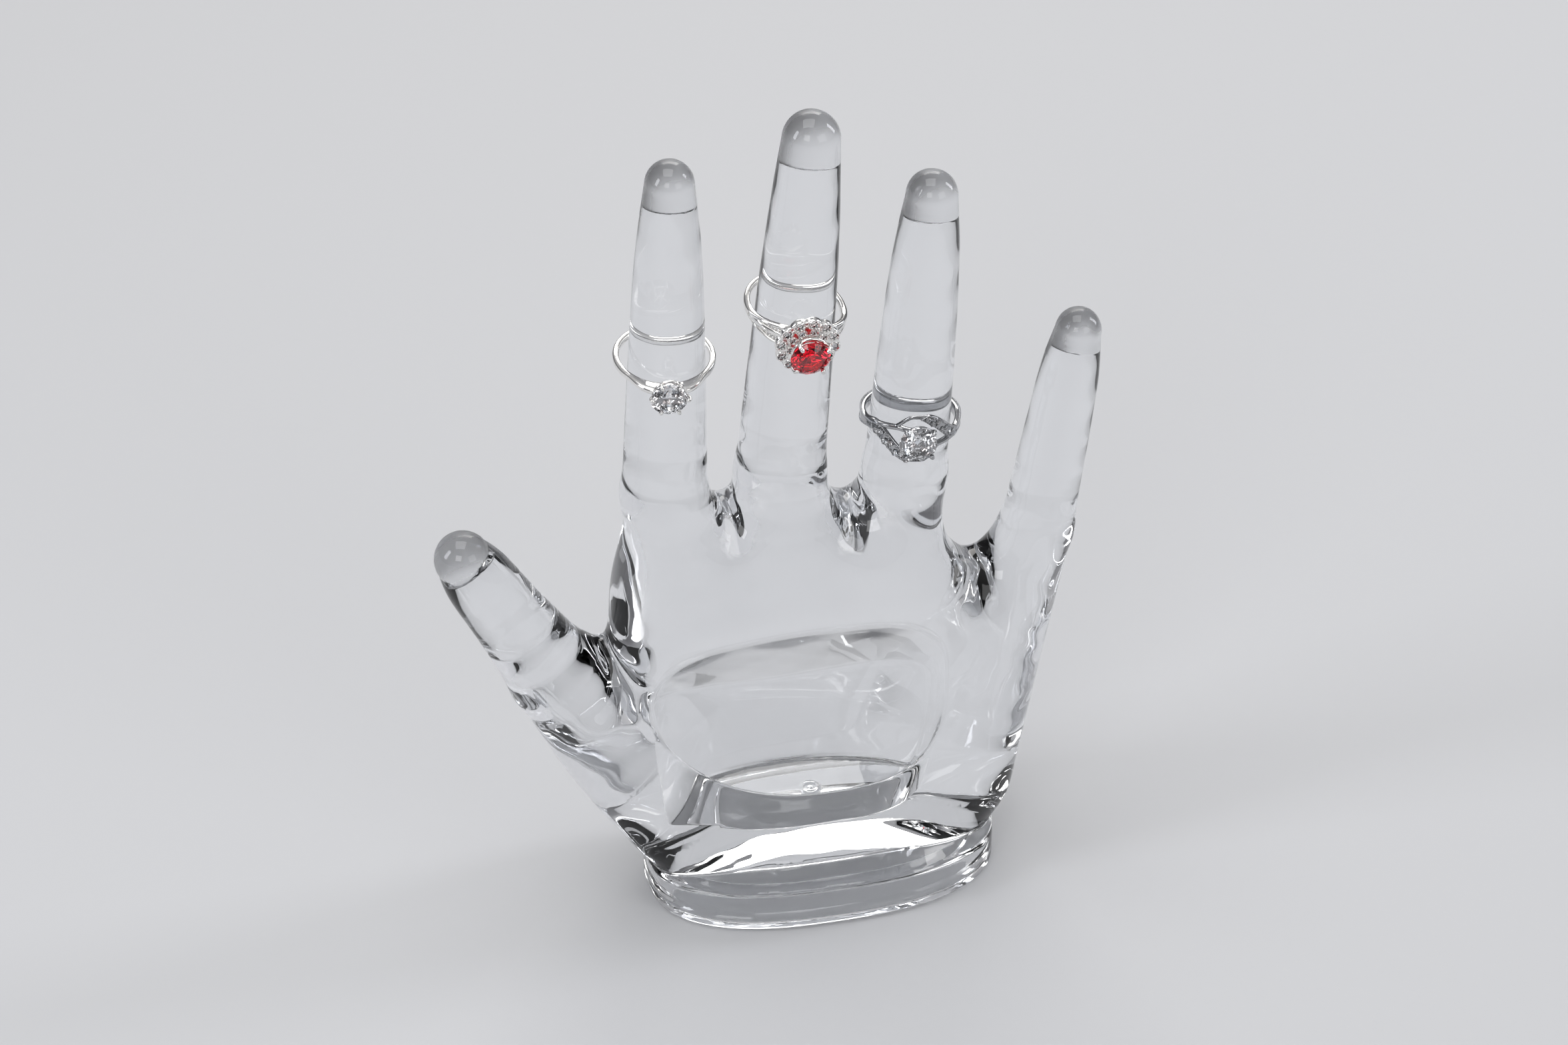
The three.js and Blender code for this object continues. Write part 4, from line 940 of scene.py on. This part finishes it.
def cluster_halo(p):
    """A scalloped plate with an eye, and a collar and four beads about each stone."""
    angle, out, up = np.arctan2(p[:, 1], p[:, 0]), np.hypot(p[:, 0], p[:, 1]), p[:, 2]
    edge = CLUSTER_HALO / 2 - LOBE_DEPTH * (1 - np.abs(np.cos(angle * HALO_LOBES / 2)))
    faces = np.abs(up - (plate_bottom + plate_top) / 2) - HALO_THICKNESS / 2
    plate = smooth_max(out - edge, faces, HALO_EDGE)
    plate = smooth_max(plate, CLUSTER_EYE / 2 - out, EYE_EDGE)
    inner_row = CLUSTER_HALO / 2 - OUTER_STONE - 2 * SETTING_GAP
    rows = ((HALO_LOBES, OUTER_STONE, CLUSTER_HALO / 2),
            (INNER_COUNT, INNER_STONE, inner_row))
    for count, size, outer in rows:
        reach = outer - size / 2 - 2 * SETTING_GAP
        spoke = folded(p, count) - np.array((reach, 0, plate_top))
        from_rim = np.hypot(spoke[:, 0], spoke[:, 1]) - size / 2 - COLLAR["out"]
        collar = np.hypot(from_rim, spoke[:, 2] - COLLAR["up"]) - COLLAR["wire"]
        plate = smooth_min(plate, collar, COLLAR["blend"])
        corner = np.stack([np.abs(spoke[:, 0]), np.abs(spoke[:, 1]), spoke[:, 2]], 1)
        aside = (size / 2 + HALO_BEAD["out"]) * DIAGONAL
        beads = ball(corner, (aside, aside, HALO_BEAD["up"]), HALO_BEAD["radius"])
        plate = smooth_min(plate, beads, HALO_BEAD["blend"])
        plate = smooth_max(plate, -stone_distance(spoke, size + SETTING_GAP), STONE_EDGE)
    return plate


def cluster_claws(p):
    return claw_distance(p, CLUSTER_CLAWS, CLUSTER_CLAW, CLUSTER_STONE, cluster_girdle, CLUSTER_EYE / 2,
                         plate_top + SETTING_GAP, shift=0.5)


cast("cluster_shank_fine", cluster_shank, cluster_bore + CLUSTER_THICKNESS, 0, 0, CLUSTER_SHANK_MARGIN,
     BAND_CELL, cluster_place, WHITE_METAL, "cluster_ring", "white_metal", "cluster_shank")
cast("cluster_halo_fine", cluster_halo, CLUSTER_HALO / 2, plate_bottom, plate_top, HALO_MARGIN,
     HEAD_CELL, cluster_place @ HEAD_TURN, WHITE_METAL, "cluster_ring", "white_metal", "cluster_halo")
cast("cluster_claws_fine", cluster_claws, CLUSTER_STONE / 2, plate_top, cluster_girdle, CLUSTER_CLAWS_MARGIN,
     HEAD_CELL, cluster_place @ HEAD_TURN, WHITE_METAL, "cluster_ring", "white_metal", "cluster_claws")

# Bypass ring
BYPASS_WIDTH = 2.6
BYPASS_THICKNESS = 1.3
BYPASS_POWER = 3
BYPASS_RAIL = 1.15
BYPASS_RAIL_POWER = 2.6
BYPASS_RAIL_BLEND = 0.15
PLAIN_SPREAD = 1.4
PLAIN_SPLIT = (10, 100)
PLAIN_END = 8
BYPASS_SPLIT = (4, 60)
BYPASS_TAPER = (60, 95)
BYPASS_DIP = 1
BYPASS_MERGE = 16
BYPASS_ROOT = BYPASS_SPLIT[1] + BYPASS_MERGE
BYPASS_CAP = dict(past=0.2, edge=0.4)
PLAIN_TUCK = 0.5
PLAIN_TUCK_SPAN = (8, 26)
ROOT_SINK = 0.3
LEAF_LOW, LEAF_HIGH = -0.9, 4.5
LEAF_OUT = 0.5
LEAF_WIDTH = 3.2
LEAF_TIP = 0.8
LEAF_END = 2
LEAF_POINT = 9
LEAF_LEAST_POINT = 0.05
LEAF_FULLNESS = 0.9
LEAF_POWER = 4
LEAF_CAP = dict(past=0.15, edge=0.3)
LEAF_RIM = 0.28
LEAF_GROOVE = 0.2
GROOVE_EDGE = 0.1
LEAF_BLEND = 0.12
LEAF_STONE = 1.35
LEAF_COUNT = 7
LEAF_ROW = (10, 50)
LEAF_STAGGER = 0.15
LEAF_BEAD = dict(radius=0.25, gap_in=0.5, side_in=0.52, sunk=0.1, blend=0.05)
GRAIN = dict(radius=0.19, step=2.2, edge_in=0.16, sunk=0.12, past=0.3, blend=0.04)
LOOP_ANGLES = (-30, 8)
LOOP_SPAN = (-32, -6)
LOOP_ABOVE = 0.4
LOOP_WIRE = 0.8
LOOP_STEPS = 18
BYPASS_STONE = 7.7
BYPASS_LIFT = 2.2
BYPASS_PRONGS = 4
BYPASS_PRONG = 0.85
BYPASS_BAND_MARGIN = (0.6, 6.6, 6.6)
BYPASS_HEAD_MARGIN = (1.1, 0.3, 1.8)


def leaf_rise(angle):
    return LEAF_LOW + (LEAF_HIGH - LEAF_LOW) * ease(angle, BYPASS_SPLIT)


def leaf_out(angle):
    return LEAF_OUT * ease(angle, BYPASS_SPLIT)


def leaf_wide(angle):
    share = np.clip((np.abs(angle) - BYPASS_ROOT) / (-LEAF_END - BYPASS_ROOT), 0, 1)
    return LEAF_TIP + (LEAF_WIDTH - LEAF_TIP) * np.sin(math.pi * share) ** LEAF_FULLNESS


def plain_rise(angle):
    return BYPASS_WIDTH / 4 + PLAIN_SPREAD * ease(angle, PLAIN_SPLIT)


bypass_bore, bypass_place = seat_of(
    BYPASS, lambda angle: np.maximum(BYPASS_WIDTH / 2, plain_rise(angle) + BYPASS_RAIL / 2))
bypass_middle = bypass_bore + BYPASS_THICKNESS / 2
bypass_top = bypass_bore + BYPASS_THICKNESS
bypass_girdle = bypass_top + BYPASS_LIFT
bypass_foot = BYPASS_STONE * FOOT_SHARE
leaf_at = np.linspace(*LEAF_ROW, LEAF_COUNT)
leaf_side = np.where(np.arange(LEAF_COUNT) % 2 == 0, 1.0, -1.0)
leaf_shift = leaf_side * LEAF_STAGGER * leaf_wide(leaf_at)


def bypass_loop():
    """Middle line of the loop from a plain rail to the tip of the other side's leaf."""
    angle = np.linspace(*LOOP_ANGLES, LOOP_STEPS)
    share = smooth_step(angle, *LOOP_SPAN)
    start, crest = plain_rise(LOOP_ANGLES[0]), leaf_rise(0) + LOOP_ABOVE
    return round_finger(angle, bypass_middle + LEAF_OUT * share, start + (crest - start) * share)


def leaf_beads():
    """Beads that hold the leaf's stones: two at each gap of the row and one across from each stone."""
    between = (leaf_at[:-1] + leaf_at[1:]) / 2
    edge = leaf_wide(between) / 2 - LEAF_BEAD["gap_in"]
    across = leaf_side * (leaf_wide(leaf_at) / 2 - LEAF_BEAD["side_in"])
    angle = np.concatenate([between, between, leaf_at])
    height = leaf_rise(angle) + np.concatenate([-edge, edge, -across])
    return round_finger(angle, bypass_top + leaf_out(angle) - LEAF_BEAD["sunk"], height)


def bypass_shank(p):
    """The back of the band, with a row of grains along each edge."""
    angle, out, up = about_finger(p)
    dip = BYPASS_DIP * ease(angle, BYPASS_TAPER)
    off, wide = up + np.sign(angle) * dip / 2, BYPASS_WIDTH - dip
    past = arc(np.maximum(BYPASS_SPLIT[1] - np.abs(angle), 0), out)
    whole = section_distance(out - bypass_middle, off, BYPASS_THICKNESS, wide, BYPASS_POWER)
    whole = smooth_max(whole, past - BYPASS_CAP["past"], BYPASS_CAP["edge"])
    near = np.radians(angle - np.round(angle / GRAIN["step"]) * GRAIN["step"]) * out
    for edge in (-1, 1):
        across = off - edge * (wide / 2 - GRAIN["edge_in"])
        grain = np.sqrt(near ** 2 + (out - bypass_top + GRAIN["sunk"]) ** 2 + across ** 2) - GRAIN["radius"]
        whole = smooth_min(whole, np.maximum(grain, past - GRAIN["past"]), GRAIN["blend"])
    return whole


def bypass_plain(angle, out, up):
    """The plain rail, which dips under the stone and sinks into the shank at its root."""
    inside = np.clip(angle, PLAIN_END, PLAIN_SPLIT[1])
    past = arc(np.abs(angle - inside), out)
    sink = ROOT_SINK * smooth_step(inside, BYPASS_TAPER[0], PLAIN_SPLIT[1])
    rise = plain_rise(inside) - PLAIN_TUCK * ease(inside, PLAIN_TUCK_SPAN) - sink
    thick = BYPASS_THICKNESS - sink
    rail = section_distance(out - bypass_middle, up + rise, thick, BYPASS_RAIL, BYPASS_RAIL_POWER)
    return smooth_max(rail, past - BYPASS_CAP["past"], BYPASS_CAP["edge"])


def bypass_leaf(q, angle, out, up, beads):
    """The leaf: a pointed strip with a sunk face, beads and seats for its stones."""
    inside = np.clip(angle, LEAF_END, BYPASS_ROOT)
    past = arc(np.abs(angle - inside), out)
    wide = leaf_wide(inside) * np.sqrt(np.clip((angle - LEAF_END) / LEAF_POINT, LEAF_LEAST_POINT, 1))
    off, raised = up - leaf_rise(inside), out - leaf_out(inside)
    thick = BYPASS_THICKNESS - ROOT_SINK * smooth_step(inside, BYPASS_SPLIT[1], BYPASS_ROOT)
    leaf = section_distance(raised - bypass_middle, off, thick, wide, LEAF_POWER)
    leaf = smooth_max(leaf, past - LEAF_CAP["past"], LEAF_CAP["edge"])
    groove = np.maximum(np.abs(off) - (wide / 2 - LEAF_RIM), bypass_top - LEAF_GROOVE - raised)
    leaf = smooth_max(leaf, -groove, GROOVE_EDGE)
    for bead in beads:
        leaf = smooth_min(leaf, ball(q, bead, LEAF_BEAD["radius"]), LEAF_BEAD["blend"])
    for degrees, shift in zip(leaf_at, leaf_shift):
        height, reach = leaf_rise(degrees) + shift, bypass_top + leaf_out(degrees)
        c, s = math.cos(math.radians(degrees)), math.sin(math.radians(degrees))
        x, y, z = q.T
        local = np.stack([x * c + y * s, z - height, x * s - y * c - reach], 1)
        leaf = smooth_max(leaf, -stone_distance(local, LEAF_STONE + SETTING_GAP), STONE_EDGE)
    return leaf


def bypass_band(p):
    """The shank, and on each side, half a turn apart, a plain rail, a leaf and a loop of wire."""
    whole = bypass_shank(p)
    loop, beads = bypass_loop(), leaf_beads()
    for side in (-1, 1):
        q = p * np.array((side, 1, side))
        angle, out, up = about_finger(q)
        whole = smooth_min(whole, bypass_plain(angle, out, up), BYPASS_RAIL_BLEND)
        whole = smooth_min(whole, bypass_leaf(q, angle, out, up, beads), LEAF_BLEND)
        whole = smooth_min(whole, tube(q, loop, np.full(len(loop), LOOP_WIRE / 2)), LEAF_BLEND)
    return whole


def bypass_head(p):
    return claw_distance(p, BYPASS_PRONGS, BYPASS_PRONG, BYPASS_STONE, bypass_girdle, bypass_foot,
                         bypass_top + SETTING_GAP, shift=0.5)


cast("bypass_band_fine", bypass_band, bypass_top + LEAF_OUT, 0, 0, BYPASS_BAND_MARGIN,
     BAND_CELL, bypass_place, DARK_METAL, "bypass_ring", "dark_metal", "bypass_band")
cast("bypass_head_fine", bypass_head, BYPASS_STONE / 2, bypass_top, bypass_girdle, BYPASS_HEAD_MARGIN,
     HEAD_CELL, bypass_place @ HEAD_TURN, DARK_METAL, "bypass_ring", "dark_metal", "bypass_head")

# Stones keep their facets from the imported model
for name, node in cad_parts.items():
    if name.endswith("_stone") or name[-2:].isdigit():
        node.data.materials.clear()
        node.data.materials.append(RED_GEM if name == "cluster_stone" else CLEAR_GEM)

# Stage and light, in metres and watts
FLOOR_HALF = 6.0
FLOOR_DROP = 0.0002
FLOOR_COLOUR = (0.6, 0.605, 0.615)
FLOOR_SPECULAR = 0.15
FLOOR_NOISE = (500, 4)
FLOOR_ROUGHNESS = (0.75, 0.9)
WHITE, WARM, COOL = (1, 1, 1), (1.0, 0.98, 0.95), (0.94, 0.95, 1.0)
LAMPS = dict(
    top=dict(place=(-0.15, 0.05, 1.35), aim=(0, 0, 0), size=(0.8, 0.8), power=5, colour=WHITE),
    back=dict(place=(0.22, 0.95, 0.76), aim=(0, 0, 0.05), size=(0.75, 0.42), power=3.8, colour=WARM),
    left=dict(place=(-0.95, -0.1, 0.58), aim=(0, 0, 0.1), size=(0.24, 0.56), power=2.9, colour=COOL),
    right=dict(place=(0.95, 0.1, 0.55), aim=(0, 0, 0.1), size=(0.2, 0.56), power=2.5, colour=COOL),
    front=dict(place=(-0.5, -0.85, 0.75), aim=(0, 0, 0.12), size=(0.45, 0.45), power=2.2, colour=WHITE),
    fill=dict(place=(0.55, -0.85, 0.6), aim=(0, 0, 0.12), size=(0.6, 0.5), power=1.5, colour=WHITE),
)
SKY_STOPS = (0.0, 0.3, 0.95)
SKY_SHADES = ((0.1, 0.1, 0.105), (0.14, 0.14, 0.15), (0.52, 0.52, 0.53))

# Camera: lens, sensor and target in millimetres, angles in degrees, the rest in metres
LENS = 85
SENSOR = 36
CAMERA_TARGET = (6.21, 14.33, 80)
CAMERA_AZIMUTH = -13
CAMERA_ELEVATION = 35
CAMERA_DISTANCE = 0.77
CAMERA_CLIP = (0.01, 20)


def aimed(name, data, place, heading):
    """An object that looks along a heading."""
    obj = bpy.data.objects.new(name, data)
    obj.location = place
    obj.rotation_mode = "QUATERNION"
    obj.rotation_quaternion = heading.to_track_quat("-Z", "Y")
    bpy.context.scene.collection.objects.link(obj)
    return obj


def area_light(name, place, aim, size, power, colour):
    lamp = bpy.data.lights.new(name, "AREA")
    lamp.shape = "RECTANGLE"
    lamp.size, lamp.size_y = size
    lamp.energy = power
    lamp.color = colour
    aimed(name, lamp, place, Vector(aim) - Vector(place))


def floor_piece():
    mesh = bpy.data.meshes.new("floor")
    corners = [(x * FLOOR_HALF, y * FLOOR_HALF, 0) for x, y in ((-1, -1), (1, -1), (1, 1), (-1, 1))]
    mesh.from_pydata(corners, [], [(0, 1, 2, 3)])
    material, nodes, links, shader = new_material("pale_floor")
    grain = noise(nodes, links, *FLOOR_NOISE)
    shader.inputs["Base Color"].default_value = (*FLOOR_COLOUR, 1)
    shader.inputs["Specular IOR Level"].default_value = FLOOR_SPECULAR
    links.new(spread(nodes, links, grain, *FLOOR_ROUGHNESS), shader.inputs["Roughness"])
    mesh.materials.append(material)
    obj = bpy.data.objects.new("floor", mesh)
    obj.location.z = -FLOOR_DROP
    bpy.context.scene.collection.objects.link(obj)


def studio_sky():
    """A soft room: dim near the horizon, brighter overhead."""
    world = bpy.data.worlds.new("studio")
    bpy.context.scene.world = world
    world.use_nodes = True
    nodes, links = world.node_tree.nodes, world.node_tree.links
    heading = nodes.new("ShaderNodeTexCoord")
    height = nodes.new("ShaderNodeSeparateXYZ")
    shades = colour_stops(nodes, SKY_STOPS, SKY_SHADES)
    links.new(heading.outputs["Generated"], height.inputs["Vector"])
    links.new(height.outputs["Z"], shades.inputs["Fac"])
    links.new(shades.outputs["Color"], nodes["Background"].inputs["Color"])


def photo_camera():
    """The photograph's angle on the hand."""
    camera = bpy.data.cameras.new("camera")
    camera.lens, camera.sensor_width = LENS, SENSOR
    camera.clip_start, camera.clip_end = CAMERA_CLIP
    azimuth, elevation = math.radians(CAMERA_AZIMUTH), math.radians(CAMERA_ELEVATION)
    level = math.cos(elevation)
    away = Vector((math.sin(azimuth) * level, -math.cos(azimuth) * level, math.sin(elevation)))
    place = Vector(CAMERA_TARGET) * MM + away * CAMERA_DISTANCE
    bpy.context.scene.camera = aimed("camera", camera, place, -away)


floor_piece()
for name, lamp in LAMPS.items():
    area_light(name, **lamp)
studio_sky()
photo_camera()
bpy.context.scene.view_settings.view_transform = "Standard"
